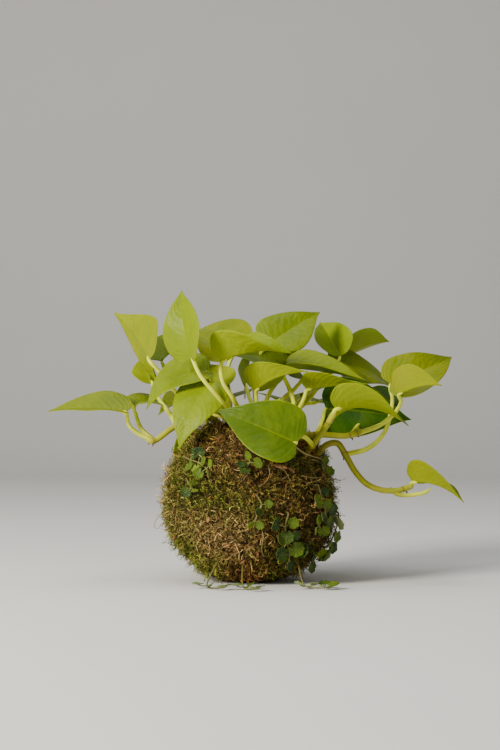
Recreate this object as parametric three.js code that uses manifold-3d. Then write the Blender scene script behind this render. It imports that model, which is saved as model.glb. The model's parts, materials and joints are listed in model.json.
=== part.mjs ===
// Kokedama moss ball plant: a heart-leaved vine and a small-leaved creeper grow from a ball of soil in moss.
// Millimetres, +Z up. The origin is the centre of the small flat foot that the ball rests on.
// +X runs to the side where the long shoot trails, and -Y is the front.

import * as THREE from 'three';
import { mergeVertices } from 'three/addons/utils/BufferGeometryUtils.js';
import Module from 'manifold-3d';

const wasm = await Module();
wasm.setup();

// Moss ball
const FOOT_RADIUS = 22;
const MOSS_WALL = 8;
const GAP = 0.3;
const BALL_HEART = 62;
const CREST = 124.5;
const RELIEF = 1.9;
const RELIEF_START = [1, 14];
const RELIEF_END = [112, 124];
const OUTWARD_SLOPE = 0.8;
const ON_OUTLINE = 0.01;
const BALL_OUTLINE = [
  [FOOT_RADIUS, 0], [34, 4], [46, 11.5], [57, 23], [64, 36], [68, 50], [69, 63], [67, 79], [62.5, 95],
  [54, 109], [45, 119], [36, CREST],
];
const WALL_OUTLINE = BALL_OUTLINE.filter((point, i) => i % 2 === 0);
const RIM_INNER = [29, 120];
const SOIL_CROWN = [[28.5, 119.6], [20, 125], [10, 127.5], [0, 128]];
const BALL_SIDES = 36;

// Waves of the moss: crests round the ball, turn for each millimetre of height and shift, in radians
const BROAD_WAVES = [[3, 0.07, 0], [5, -0.11, 2]];
const FINE_WAVES = [[9, 0.21, 1], [2, 0.17, 0]];
const BROAD_SHARE = 0.45;
const FINE_SHARE = 0.55;

// Vine
const STEM_RADIUS = 2.6;
const STALK_RADIUS = 1.8;
const STEM_SIDES = 6;
const STALK_SIDES = 4;
const STEM_STEP = 13;
const STALK_STEP = 15;
const HOLE_CLEARANCE = 0.45;
const BLADE_THICKNESS = 0.8;
const STALK_SINK = 0.07;

// Creeper
const RUNNER_RADIUS = 0.9;
const RUNNER_SIDES = 4;
const RUNNER_STEP = 11;
const CREEPER_STALK_WIDTH = 1.4;
const CREEPER_CORNERS = 6;
const CREEPER_NOTCH = 25;
const CREEPER_THICKNESS = 0.8;
const CREEPER_LIFT = 2.4;
const CREEPER_TILT = 0.22;
const CREEPER_ROOT = 6;
const FLOOR_LIFT = 2;
const CREEPER_REACH = 1.5;
const CREEPER_FAN = 100;
const CREEPER_SWAY = 25;
const CREEPER_SWAY_BEAT = 7;
const CREEPER_SIZE_CHANGE = 0.18;
const CREEPER_SIZE_BEAT = 5;

// A heart-shaped blade in flat form: where each side vein leaves the midrib, then how far along and how far
// out its end lies on the outline, as shares of the length and of half the width. The lobes reach behind the
// stalk.
const BLADE_OUTLINE = [
  [0, 0, 0], [0, -0.055, 0.42], [0.05, 0.03, 0.86], [0.17, 0.18, 1], [0.33, 0.36, 0.93],
  [0.5, 0.54, 0.72], [0.67, 0.72, 0.42], [0.84, 0.88, 0.15], [1, 1, 0],
];
const PLAIN_BLADE = { fold: 20, cup: 6, arch: 0.05, bend: 0, twist: 0 };

// The vine's leafy stems. A route starts deep in the soil and comes out through its own hole. Each leaf has
// its stalk's route, the point where the stalk meets the blade, the blade's tip, the way its upper side
// faces and its width. fold raises both halves from the midrib, cup rolls their edges back down and twist
// turns the blade along its length, all in degrees. arch bows the midrib up and bend bows it sideways, as
// shares of the length.
const LEAFY_STEMS = {
  vine_left: {
    route: [[-19, -2, 106], [-22, -4, 122], [-32, -8, 130], [-51, -14, 128], [-63, -16, 121],
      [-76, -18, 112], [-80, -18, 113]],
    leaves: [
      { stalk: [[-78, -18, 113], [-89, -18, 118], [-96, -19, 125]], base: [-98, -19, 135],
        tip: [-161, -11, 135], face: [0, -0.4, 0.9], width: 43, fold: 23, cup: 4, twist: 10 },
      { stalk: [[-77, -17, 113], [-82, -15, 117], [-87, -10, 122], [-91, -5, 132]], base: [-93, -3, 140],
        tip: [-66, 44, 138], face: [0.3, -0.1, 0.9], width: 36, fold: 16, cup: 12, arch: 0.08, twist: -40 },
      { stalk: [[-58, -15, 124], [-63, -6, 132], [-74, 10, 146]], base: [-80, 25, 157], tip: [-85, 60, 184],
        face: [-0.6, 0.4, -0.7], width: 31, cup: 2, twist: 12 },
    ],
  },
  stem_left_front: {
    route: [[-9, -17, 104], [-11, -20, 122], [-14, -23, 131]],
    leaves: [
      { stalk: [[-13, -22, 128], [-17, -33, 137], [-25, -42, 147], [-39, -43, 164]], base: [-46, -40, 178],
        tip: [-54, -20, 231], face: [-0.6, -0.78, 0.2], width: 44, fold: 26, cup: 12, arch: 0.12,
        bend: 0.04, twist: -50 },
      { stalk: [[-14, -22, 129], [-20, -17, 136], [-27, -13, 145], [-30, -15, 153]], base: [-31, -23, 158],
        tip: [-55, -44, 106], face: [-0.2, -0.8, 0.6], width: 43, fold: 12, cup: 16, arch: 0.1, bend: 0.03,
        twist: 13 },
      { stalk: [[-13, -21, 129], [-17, -11, 138], [-24, -5, 150], [-31, -5, 161]], base: [-34, -10, 167],
        tip: [-82, -21, 137], face: [-0.3, -0.6, 0.7], width: 41, fold: 26, cup: 10, arch: 0.11,
        bend: 0.08 },
    ],
  },
  stem_left_back: {
    route: [[-15, 6, 104], [-17, 8, 122], [-18, 9, 130]],
    leaves: [
      { stalk: [[-18, 9, 127], [-23, 8, 133], [-40, 5, 138], [-59, 3, 150], [-72, 2, 166]],
        base: [-80, 2, 176], tip: [-113, 61, 216], face: [0.9, 0.5, 0], width: 53, fold: 18, cup: 2,
        arch: 0.06, twist: -24 },
      { stalk: [[-18, 9, 127], [-24, 16, 137], [-46, 32, 150], [-66, 42, 165]], base: [-73, 46, 176],
        tip: [-57, 94, 204], face: [-0.2, -0.4, 0.9], width: 40, fold: 37, cup: 10, arch: 0, twist: -12 },
      { stalk: [[-18, 9, 127], [-16, 18, 141], [-19, 38, 163], [-17, 50, 174]], base: [-15, 56, 181],
        tip: [-47, 106, 201], face: [-0.2, -0.5, 0.9], width: 50, fold: 13, cup: -2, arch: 0.14, bend: 0.07,
        twist: -22 },
      { stalk: [[-18, 9, 127], [-17, 14, 139], [-20, 18, 148]], base: [-23, 22, 154], tip: [-47, 68, 176],
        face: [0.6, 0.6, -0.6], width: 36, cup: 13 },
    ],
  },
  stem_centre: {
    route: [[3, -11, 104], [2, -13, 122], [0, -16, 131]],
    leaves: [
      { stalk: [[0, -16, 130], [-9, -29, 138], [-14, -39, 147], [-21, -41, 158], [-23, -39, 168]],
        base: [-22, -34, 175], tip: [33, -38, 181], face: [0, -0.2, 0.98], width: 51, fold: 42, cup: 2,
        arch: 0.1, bend: 0.04, twist: -100 },
      { stalk: [[1, -16, 130], [5, -15, 141]], base: [5, -14, 152], tip: [45, -46, 167],
        face: [-0.1, 0.5, 0.85], width: 39, fold: 38, cup: 4, arch: 0.04, bend: 0.08, twist: -24 },
      { stalk: [[1, -16, 130], [2, 2, 138], [-1, 20, 147]], base: [-4, 28, 154], tip: [2, 70, 182],
        face: [-1, 0.2, -0.1], width: 29, fold: 15 },
    ],
  },
  stem_centre_back: {
    route: [[8, 9, 104], [9, 10, 122], [9, 11, 131]],
    leaves: [
      { stalk: [[9, 11, 128], [4, 13, 146], [5, 12, 166], [9, 11, 182]], base: [17, 12, 190],
        tip: [58, 51, 216], face: [0.2, -0.6, 0.7], width: 44, fold: 17, cup: 13, arch: 0.03, twist: -8 },
      { stalk: [[9, 11, 128], [15, 12, 148], [27, 12, 165]], base: [34, 14, 174], tip: [-16, 9, 180],
        face: [0, -0.7, 0.7], width: 34, fold: 14, cup: 4, arch: 0.06 },
    ],
  },
  stem_right: {
    route: [[24, -5, 104], [26, -7, 121], [29, -9, 129]],
    leaves: [
      { stalk: [[28, -9, 127], [35, -9, 140], [31, -6, 154], [27, -6, 164]], base: [32, -8, 170],
        tip: [92, -10, 160], face: [0.1, -0.35, 0.93], width: 44, fold: 32, cup: 4, arch: 0.03,
        twist: -12 },
      { stalk: [[28, -9, 127], [38, -14, 136], [43, -18, 146]], base: [45, -17, 153], tip: [92, -29, 157],
        face: [0, 0.2, 0.98], width: 34, fold: 30, cup: 4, arch: 0.02, twist: -44 },
      { stalk: [[28, -8, 127], [26, 0, 143], [36, 6, 153]], base: [43, 9, 161], tip: [31, 47, 175],
        face: [-0.6, 0.2, -0.8], width: 25, fold: 30, cup: 15, arch: 0, bend: -0.08, twist: -12 },
    ],
  },
  stem_right_front: {
    route: [[36, -19, 90], [41, -26, 101], [48, -34, 108], [54, -38, 116], [60, -43, 125], [65, -48, 134]],
    leaves: [
      { stalk: [[62, -45, 129], [65, -48, 134]], base: [66, -50, 138], tip: [125, -24, 124],
        face: [0, 0.05, 1], width: 47, fold: 18, cup: 0, arch: 0.1, bend: 0.04, twist: -92 },
      { stalk: [[49, -35, 109], [42, -50, 116], [36, -60, 116]], base: [35, -64, 112], tip: [-26, -50, 137],
        face: [-0.1, -0.9, 0.3], width: 53, fold: 22, cup: 2, twist: 18 },
    ],
  },
  vine_right_upper: {
    route: [[22, -20, 99], [30, -26, 110], [42, -31, 116], [58, -27, 117], [75, -24, 116], [88, -18, 119]],
    leaves: [
      { stalk: [[86, -19, 118], [104, -17, 125], [116, -20, 136], [119, -25, 144]], base: [117, -27, 149],
        tip: [148, -61, 156], face: [0.4, 0.5, 0.8], width: 41, fold: 40, cup: -4, arch: 0.09, twist: -14 },
      { stalk: [[80, -22, 117], [88, 0, 126], [91, 17, 134]], base: [92, 27, 139], tip: [125, 62, 143],
        face: [0.7, -0.7, -0.1], width: 36, fold: 30, cup: 10, arch: 0.07 },
      { stalk: [[52, -29, 117], [55, -19, 122], [58, -7, 129]], base: [61, 3, 137], tip: [130, 10, 128],
        face: [0, -0.9, 0.44], width: 55, fold: 20, cup: 10, arch: 0.05 },
    ],
  },
  vine_right_trailing: {
    route: [[44, -12, 88], [53, -18, 101], [61, -20, 109], [69, -19, 110], [76, -17, 100], [83, -15, 88],
      [92, -13, 78], [103, -11, 73], [116, -9, 72], [128, -6, 75]],
    leaves: [
      { stalk: [[124, -7, 74], [128, -5, 76]], base: [130, -3, 79], tip: [168, -28, 64],
        face: [0.4, 0.2, 0.9], width: 41, fold: 31, cup: 2, arch: 0.1, bend: 0.03, twist: -26 },
      { stalk: [[75, -17, 101], [92, -14, 105], [102, -11, 112], [109, -6, 122], [114, 1, 144]],
        base: [113, 8, 157], tip: [166, 43, 179], face: [0.2, -0.7, 0.7], width: 44, fold: 19, cup: 11,
        arch: 0.1, bend: 0.07 },
    ],
    shoot: [[112, -9, 73], [118, -10, 69], [137, -10, 70], [145, -8, 74]],
  },
  stem_right_back: {
    route: [[18, 18, 104], [20, 20, 121], [22, 22, 129]],
    leaves: [
      { stalk: [[22, 21, 127], [36, 27, 138], [54, 35, 152], [68, 43, 169]], base: [74, 48, 180],
        tip: [59, 96, 209], face: [-0.15, -0.62, 0.77], width: 39, fold: 43, cup: 2, arch: 0.04 },
      { stalk: [[22, 22, 127], [36, 34, 137], [55, 52, 152], [70, 69, 168]], base: [78, 76, 178],
        tip: [120, 123, 193], face: [-0.6, 0.3, 0.7], width: 45, fold: 19, cup: 3, arch: 0.04, bend: 0.05 },
      { stalk: [[22, 21, 128], [41, 19, 138], [56, 20, 156]], base: [60, 24, 170], tip: [98, 38, 157],
        face: [0.3, -0.3, 0.9], width: 36, fold: 14, cup: 10, arch: 0.08, twist: -16 },
      { stalk: [[22, 22, 127], [42, 34, 144], [60, 46, 164]], base: [70, 52, 173], tip: [122, 80, 150],
        face: [0.15, -0.52, 0.85], width: 50, fold: 12, cup: 10, arch: 0.1 },
    ],
  },
  stem_back_left: {
    route: [[-12, 20, 104], [-14, 22, 120], [-16, 24, 128]],
    leaves: [
      { stalk: [[-16, 25, 126], [-28, 42, 137]], base: [-38, 57, 144], tip: [-78, 98, 130],
        face: [-0.4, 0.5, 0.8], width: 45, arch: 0.1 },
      { stalk: [[-16, 25, 126], [-17, 44, 138]], base: [-19, 62, 145], tip: [-23, 121, 137],
        face: [0, 0.4, 0.9], width: 41, arch: 0.1, bend: 0.05 },
      { stalk: [[-16, 24, 127], [-28, 42, 131], [-36, 60, 124]], base: [-38, 66, 114], tip: [-46, 84, 58],
        face: [-0.4, 0.9, 0.2], width: 44, arch: 0.06, bend: -0.04 },
    ],
  },
  stem_back_right: {
    route: [[9, 22, 104], [10, 24, 119], [11, 26, 128]],
    leaves: [
      { stalk: [[11, 26, 127], [17, 47, 138]], base: [25, 65, 144], tip: [40, 121, 127],
        face: [0.1, 0.4, 0.9], width: 45, arch: 0.1 },
      { stalk: [[11, 26, 127], [31, 44, 136], [46, 54, 140]], base: [54, 60, 142], tip: [96, 98, 120],
        face: [0.4, 0.4, 0.8], width: 43, arch: 0.1, bend: -0.04 },
      { stalk: [[11, 26, 127], [12, 46, 132], [8, 63, 124]], base: [5, 68, 114], tip: [-4, 88, 56],
        face: [0, 0.95, 0.3], width: 48, arch: 0.05, bend: 0.04 },
    ],
  },
};

// The creeper's sprigs. root is where the runner comes out of the moss, as an angle round the ball and a
// height. over lists further points of the runner over the moss in the same way, and floor lists its points
// on the surface that the ball stands on, as X and Y. leaves gives the number of leaves at each point after
// the root.
const CREEPER_SPRIGS = {
  creeper_left_top: { root: [-146, 99], over: [[-138, 97], [-129, 95], [-121, 91]], leaves: [2, 3, 3],
    size: 4.3 },
  creeper_left: { root: [-137, 83], over: [[-130, 76]], leaves: [3], size: 3.4 },
  creeper_front_top: { root: [-97, 92], over: [[-90, 96]], leaves: [4], size: 4.4 },
  creeper_front: { root: [-86, 72], over: [[-83, 65], [-87, 53]], leaves: [2, 2], size: 3.6 },
  creeper_right_top: { root: [-40, 97], over: [[-26, 92]], leaves: [4], size: 4.4 },
  creeper_right: { root: [-42, 78], over: [[-38, 68], [-35, 57], [-40, 47]], leaves: [3, 3, 3], size: 4.6 },
  creeper_right_low: { root: [-66, 58], over: [[-67, 48], [-64, 36], [-59, 25]], leaves: [3, 4, 3],
    size: 5.5 },
  creeper_right_edge: { root: [-11, 55], over: [[-14, 44], [-19, 32], [-28, 21]], leaves: [3, 3, 4],
    size: 4.8 },
  creeper_foot_left: { root: [-116, 20], over: [], floor: [[-33, -64], [-23, -76]], leaves: [2, 2],
    size: 4 },
  creeper_foot_centre: { root: [-96, 18], over: [], floor: [[-5, -71], [2, -85]], leaves: [2, 2], size: 4 },
  creeper_foot_right: { root: [-50, 21], over: [], floor: [[43, -66], [57, -72]], leaves: [2, 3],
    size: 4.6 },
  creeper_back: { root: [64, 80], over: [[61, 70], [55, 59]], leaves: [3, 3], size: 4.6 },
  creeper_back_left: { root: [133, 66], over: [[138, 55]], leaves: [4], size: 4.6 },
};

const FINISHES = {
  moss: { color: 0x5d5424, roughness: 0.95 },
  soil: { color: 0x2b1d12, roughness: 1 },
  leaf: { color: 0xa6bf1e, roughness: 0.45 },
  creeper: { color: 0x2f6b33, roughness: 0.6 },
};

const WELD_DISTANCE = 1e-4;
const UP = new THREE.Vector3(0, 0, 1);
const radians = THREE.MathUtils.degToRad;
const vector = (point) => new THREE.Vector3(...point);

// A closed geometry as a solid that can be joined and cut
function solidOf(geometry) {
  const bare = new THREE.BufferGeometry();
  bare.setAttribute('position', geometry.getAttribute('position'));
  bare.setIndex(geometry.getIndex());
  const merged = mergeVertices(bare, WELD_DISTANCE);
  return new wasm.Manifold(new wasm.Mesh({
    numProp: 3,
    vertProperties: new Float32Array(merged.getAttribute('position').array),
    triVerts: new Uint32Array(merged.getIndex().array),
  }));
}

function geometryOf(solid) {
  const mesh = solid.getMesh();
  const geometry = new THREE.BufferGeometry();
  geometry.setAttribute('position', new THREE.BufferAttribute(mesh.vertProperties, 3));
  geometry.setIndex(new THREE.BufferAttribute(mesh.triVerts, 1));
  geometry.computeVertexNormals();
  return geometry;
}

function ring(radius, sides) {
  const corners = [];
  for (let i = 0; i < sides; i += 1) {
    const angle = (2 * Math.PI * i) / sides;
    corners.push(new THREE.Vector2(radius * Math.cos(angle), radius * Math.sin(angle)));
  }
  return new THREE.Shape(corners);
}

function tube(points, radius, sides, step) {
  const curve = new THREE.CatmullRomCurve3(points, false, 'centripetal');
  const steps = Math.max(2, Math.round(curve.getLength() / step));
  return new THREE.ExtrudeGeometry(ring(radius, sides), { steps, bevelEnabled: false, extrudePath: curve });
}

// A ball outline moved towards the middle of the ball
function inward([radius, height], distance) {
  const reach = Math.hypot(radius, height - BALL_HEART);
  const share = 1 - distance / reach;
  return [radius * share, BALL_HEART + (height - BALL_HEART) * share];
}

// Soft lumps of the moss, fading out at the foot and at the rim
function relief(angle, height) {
  const risen = THREE.MathUtils.smoothstep(height, ...RELIEF_START);
  const fade = risen * (1 - THREE.MathUtils.smoothstep(height, ...RELIEF_END));
  const wave = ([crests, slant, shift]) => Math.sin(crests * angle + slant * height + shift);
  const [broad, broader] = BROAD_WAVES.map(wave);
  const [fine, finer] = FINE_WAVES.map(wave);
  return RELIEF * fade * (BROAD_SHARE * (broad + broader) + FINE_SHARE * fine * finer);
}

function outlineRadius(height) {
  const last = BALL_OUTLINE.length - 1;
  for (let i = 0; i < last; i += 1) {
    const [lowRadius, low] = BALL_OUTLINE[i];
    const [highRadius, high] = BALL_OUTLINE[i + 1];
    if (height <= high) {
      return THREE.MathUtils.mapLinear(Math.max(height, low), low, high, lowRadius, highRadius);
    }
  }
  return BALL_OUTLINE[last][0];
}

// A place above the moss, with the direction that leads away from the ball there
function onMoss(angle, height, lift) {
  const radius = outlineRadius(height) + relief(angle, height);
  const point = new THREE.Vector3(radius * Math.cos(angle), radius * Math.sin(angle), height);
  const outward = new THREE.Vector3(point.x, point.y, (height - BALL_HEART) * OUTWARD_SLOPE).normalize();
  return { point: point.addScaledVector(outward, lift), outward };
}

function turned(profile, sides) {
  const points = profile.map(([radius, height]) => new THREE.Vector2(radius, height));
  return new THREE.LatheGeometry(points, sides).rotateX(Math.PI / 2);
}

// The moss is one thick shell, open at the crown where the stems come out, with lumps on its outer side only
function mossShell() {
  const inner = WALL_OUTLINE.map((point) => inward(point, MOSS_WALL));
  const floor = [0, inward([0, 0], MOSS_WALL)[1]];
  const profile = [[0, 0], ...BALL_OUTLINE, RIM_INNER, ...inner.reverse(), floor];
  const geometry = turned(profile, BALL_SIDES);
  const position = geometry.getAttribute('position');
  for (let i = 0; i < position.count; i += 1) {
    const place = new THREE.Vector3().fromBufferAttribute(position, i);
    const radius = Math.hypot(place.x, place.y);
    if (radius > outlineRadius(place.z) - ON_OUTLINE && place.z > 0) {
      const angle = Math.atan2(place.y, place.x);
      const share = (radius + relief(angle, place.z)) / radius;
      position.setXYZ(i, place.x * share, place.y * share, place.z);
    }
  }
  return solidOf(geometry);
}

function soilBall() {
  const side = WALL_OUTLINE.map((point) => inward(point, MOSS_WALL + GAP));
  const floor = [0, inward([0, 0], MOSS_WALL + GAP)[1]];
  return solidOf(turned([floor, ...side, ...SOIL_CROWN], BALL_SIDES));
}

// A point of a blade from its flat place: along is the share of the length, across runs from -1 to 1
function bladePoint(blade, along, across) {
  const { base, tip, face, width, fold, cup, arch, bend, twist } = blade;
  const axis = tip.clone().sub(base);
  const length = axis.length();
  axis.divideScalar(length);
  const up = face.clone().addScaledVector(axis, -face.dot(axis)).normalize();
  const side = axis.clone().cross(up);
  const inside = Math.max(along, 0);
  const bow = up.clone().multiplyScalar(arch).addScaledVector(side, bend);
  const run = axis.clone().addScaledVector(bow, 4 * (1 - 2 * inside));
  const centre = base.clone().addScaledVector(axis, length * inside);
  centre.addScaledVector(bow, length * 4 * inside * (1 - inside));
  centre.addScaledVector(run, length * (along - inside));
  const sideways = run.clone().cross(up).normalize();
  const outwards = sideways.clone().cross(run).normalize();
  const heading = run.clone().normalize();
  const roll = radians(twist) * (0.5 - inside);
  const level = sideways.clone().applyAxisAngle(heading, roll);
  const rise = outwards.clone().applyAxisAngle(heading, roll);
  const lift = radians(fold - cup * Math.abs(across));
  centre.addScaledVector(level, (width / 2) * across * Math.cos(lift));
  return centre.addScaledVector(rise, (width / 2) * Math.abs(across) * Math.sin(lift));
}

// The middle surface of a blade: two halves that share the midrib, each one strip from it to the outline
function bladeSurface(blade) {
  const places = [];
  const indices = [];
  const known = new Map();
  const corner = (along, across) => {
    const name = `${along},${across}`;
    if (!known.has(name)) {
      known.set(name, places.length);
      places.push(bladePoint(blade, along, across));
    }
    return known.get(name);
  };
  for (const hand of [-1, 1]) {
    for (let row = 0; row < BLADE_OUTLINE.length - 1; row += 1) {
      const [vein, along, out] = BLADE_OUTLINE[row];
      const [nextVein, nextAlong, nextOut] = BLADE_OUTLINE[row + 1];
      const a = corner(vein, 0);
      const b = corner(nextVein, 0);
      const c = corner(nextAlong, nextOut * hand);
      const d = corner(along, out * hand);
      for (const face of [[a, b, c], [a, c, d]]) {
        if (new Set(face).size === 3) {
          indices.push(...(hand < 0 ? face : face.reverse()));
        }
      }
    }
  }
  return { places, indices };
}

// A thin closed solid round a middle surface, with both faces split into triangles alike
function thickened({ places, indices }, thickness) {
  const middle = new THREE.BufferGeometry().setFromPoints(places);
  middle.setIndex(indices);
  middle.computeVertexNormals();
  const normals = middle.getAttribute('normal');
  const count = places.length;
  const points = [];
  for (const sign of [1, -1]) {
    places.forEach((place, i) => {
      const normal = new THREE.Vector3().fromBufferAttribute(normals, i);
      points.push(place.clone().addScaledVector(normal, (sign * thickness) / 2));
    });
  }
  const faces = [...indices];
  const edges = new Set();
  for (let i = 0; i < indices.length; i += 3) {
    const [a, b, c] = indices.slice(i, i + 3);
    faces.push(count + a, count + c, count + b);
    edges.add(`${a},${b}`).add(`${b},${c}`).add(`${c},${a}`);
  }
  for (const edge of edges) {
    const [a, b] = edge.split(',').map(Number);
    if (!edges.has(`${b},${a}`)) {
      faces.push(a, count + a, count + b, a, count + b, b);
    }
  }
  const geometry = new THREE.BufferGeometry().setFromPoints(points);
  geometry.setIndex(faces);
  return geometry;
}

function leafOf(plan) {
  const places = { base: vector(plan.base), tip: vector(plan.tip), face: vector(plan.face) };
  const blade = { ...PLAIN_BLADE, ...plan, ...places };
  const solid = solidOf(thickened(bladeSurface(blade), BLADE_THICKNESS));
  const stalk = plan.stalk.map(vector);
  stalk.push(blade.base, bladePoint(blade, STALK_SINK, 0));
  return solid.add(solidOf(tube(stalk, STALK_RADIUS, STALK_SIDES, STALK_STEP)));
}

function leafyStem(plan) {
  let solid = solidOf(tube(plan.route.map(vector), STEM_RADIUS, STEM_SIDES, STEM_STEP));
  for (const leaf of plan.leaves) {
    solid = solid.add(leafOf(leaf));
  }
  if (plan.shoot) {
    solid = solid.add(solidOf(tube(plan.shoot.map(vector), STALK_RADIUS, STALK_SIDES, STALK_STEP)));
  }
  return solid;
}

// The plain hole in which a stem stands, a little wider than the stem and a little deeper
function stemHole(route, radius, sides, step) {
  const points = route.map((point) => point.clone());
  const deeper = points[0].clone().sub(points[1]).setLength(HOLE_CLEARANCE);
  points[0].add(deeper);
  return solidOf(tube(points, radius + HOLE_CLEARANCE, sides, step));
}

// A round creeper leaf and its flat stalk in one outline, with the stalk running back to the runner
function roundLeaf(centre, way, normal, radius, reach) {
  const outline = new THREE.Shape();
  outline.moveTo(-reach, CREEPER_STALK_WIDTH / 2);
  outline.lineTo(-reach, -CREEPER_STALK_WIDTH / 2);
  const last = 180 - CREEPER_NOTCH;
  for (let i = 0; i < CREEPER_CORNERS; i += 1) {
    const angle = radians(THREE.MathUtils.lerp(-last, last, i / (CREEPER_CORNERS - 1)));
    outline.lineTo(radius * Math.cos(angle), radius * Math.sin(angle));
  }
  const geometry = new THREE.ExtrudeGeometry(outline, { depth: CREEPER_THICKNESS, bevelEnabled: false });
  geometry.translate(0, 0, -CREEPER_THICKNESS / 2);
  const forward = way.clone().addScaledVector(normal, -way.dot(normal)).normalize();
  const frame = new THREE.Matrix4().makeBasis(forward, normal.clone().cross(forward), normal);
  return geometry.applyMatrix4(frame.setPosition(centre));
}

// The leaves of a sprig stand out from its runner by turns to either side
function creeperSprig(plan) {
  const start = onMoss(radians(plan.root[0]), plan.root[1], CREEPER_LIFT);
  const root = start.point.clone().addScaledVector(start.outward, -CREEPER_ROOT);
  const stops = plan.over.map(([angle, height]) => onMoss(radians(angle), height, CREEPER_LIFT));
  for (const [x, y] of plan.floor ?? []) {
    stops.push({ point: new THREE.Vector3(x, y, FLOOR_LIFT), outward: UP.clone() });
  }
  const route = [root, start.point, ...stops.map((stop) => stop.point)];
  let solid = solidOf(tube(route, RUNNER_RADIUS, RUNNER_SIDES, RUNNER_STEP));
  let turn = 0;
  stops.forEach((stop, index) => {
    const before = route[index + 1];
    const forward = stop.point.clone().sub(before);
    forward.addScaledVector(stop.outward, -forward.dot(stop.outward)).normalize();
    for (let i = 0; i < plan.leaves[index]; i += 1) {
      const place = i - (plan.leaves[index] - 1) / 2;
      const spread = radians(place * CREEPER_FAN + CREEPER_SWAY * Math.sin(CREEPER_SWAY_BEAT * turn));
      const way = forward.clone().applyAxisAngle(stop.outward, spread);
      const size = plan.size * (1 + CREEPER_SIZE_CHANGE * Math.sin(CREEPER_SIZE_BEAT * turn + 1));
      const reach = size * CREEPER_REACH;
      const centre = stop.point.clone().addScaledVector(way, reach);
      const normal = stop.outward.clone().addScaledVector(way, -CREEPER_TILT).normalize();
      centre.addScaledVector(stop.outward, CREEPER_TILT * reach);
      solid = solid.add(solidOf(roundLeaf(centre, way, normal, size, reach)));
      turn += 1;
    }
  });
  return { solid, route };
}

const plant = new THREE.Group();
plant.name = 'kokedama';

function addPiece(name, solid, finish) {
  const material = new THREE.MeshStandardMaterial({ ...finish, metalness: 0 });
  const mesh = new THREE.Mesh(geometryOf(solid), material);
  mesh.name = name;
  plant.add(mesh);
}

let moss = mossShell();
let soil = soilBall();
for (const [name, plan] of Object.entries(LEAFY_STEMS)) {
  addPiece(name, leafyStem(plan), FINISHES.leaf);
  const hole = stemHole(plan.route.map(vector), STEM_RADIUS, STEM_SIDES, STEM_STEP);
  moss = moss.subtract(hole);
  soil = soil.subtract(hole);
}
for (const [name, plan] of Object.entries(CREEPER_SPRIGS)) {
  const sprig = creeperSprig(plan);
  addPiece(name, sprig.solid, FINISHES.creeper);
  moss = moss.subtract(stemHole(sprig.route, RUNNER_RADIUS, RUNNER_SIDES, RUNNER_STEP));
}
addPiece('moss_shell', moss, FINISHES.moss);
addPiece('soil_ball', soil, FINISHES.soil);

export default plant;
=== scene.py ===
# Kokedama moss ball plant: veined leaves, stalks, creeper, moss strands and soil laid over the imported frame.
# Places and sizes are in millimetres, as in the part's source. Only the settings that a user can change, the
# stage and the finishes are in metres, as the meshes are.

import json
import math

import bmesh
import bpy
import numpy as np
from mathutils import Matrix, Vector, noise

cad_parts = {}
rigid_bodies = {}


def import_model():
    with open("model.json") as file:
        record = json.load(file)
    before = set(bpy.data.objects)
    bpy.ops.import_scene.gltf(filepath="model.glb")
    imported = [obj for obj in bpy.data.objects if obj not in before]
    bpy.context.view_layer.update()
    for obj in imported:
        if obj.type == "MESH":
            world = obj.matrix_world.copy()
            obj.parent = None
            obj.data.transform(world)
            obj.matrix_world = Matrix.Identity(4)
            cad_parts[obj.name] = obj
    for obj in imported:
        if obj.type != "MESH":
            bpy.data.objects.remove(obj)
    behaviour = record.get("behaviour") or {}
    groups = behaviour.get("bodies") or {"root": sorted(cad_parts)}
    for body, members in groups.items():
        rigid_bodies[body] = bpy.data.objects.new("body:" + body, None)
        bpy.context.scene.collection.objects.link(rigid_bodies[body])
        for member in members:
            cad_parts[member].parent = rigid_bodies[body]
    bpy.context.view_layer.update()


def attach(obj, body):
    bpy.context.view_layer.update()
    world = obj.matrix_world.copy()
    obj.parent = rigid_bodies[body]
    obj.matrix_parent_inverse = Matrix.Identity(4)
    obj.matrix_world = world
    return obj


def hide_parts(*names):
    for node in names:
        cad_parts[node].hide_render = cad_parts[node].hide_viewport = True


bl_info = {
    "name": "Kokedama moss ball plant",
    "version": (1, 0, 0),
    "blender": (4, 5, 0),
    "location": "3D View > Sidebar > Kokedama",
    "description": "Moss ball planted with a heart-leaved vine and sprigs of a small creeper",
    "category": "Add Mesh",
}

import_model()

# A millimetre in metres, and how near to each other two places are welded, in millimetres
MM = 0.001
WELD_REACH = 0.02

# Moss ball: radius and height along its outline, and its heart, from which it swells outwards
BALL_OUTLINE = [[22, 0], [34, 4], [46, 11.5], [57, 23], [64, 36], [68, 50], [69, 63], [67, 79], [62.5, 95],
    [54, 109], [45, 119], [36, 124.5]]
BALL_HEART = 62
BALL_FLATNESS = 0.8
BALL_FOOT = [[0, 0], [8, 0], [16, 0]]
BALL_RIM = [[33, 124], [29, 120]]
BALL_HOLLOW = [[27.5, 112], [42.6, 108], [56.6, 90], [60.6, 63], [54.6, 38], [38.4, 17.4], [14.4, 8.2],
    [0, 8.1]]
BALL_ROWS = 100
BALL_SIDES = 200

# Soft lumps of the ball: height, then crests round the ball, change with height and shift of each wave
RELIEF = 1.9
BROAD_WAVES = [[3, 0.07, 0], [5, -0.11, 2]]
FINE_WAVES = [[9, 0.21, 1], [2, 0.17, 0]]
BROAD_SHARE = 0.45
FINE_SHARE = 0.55
RELIEF_FOOT = (1, 14)
RELIEF_RIM = (112, 124)

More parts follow.
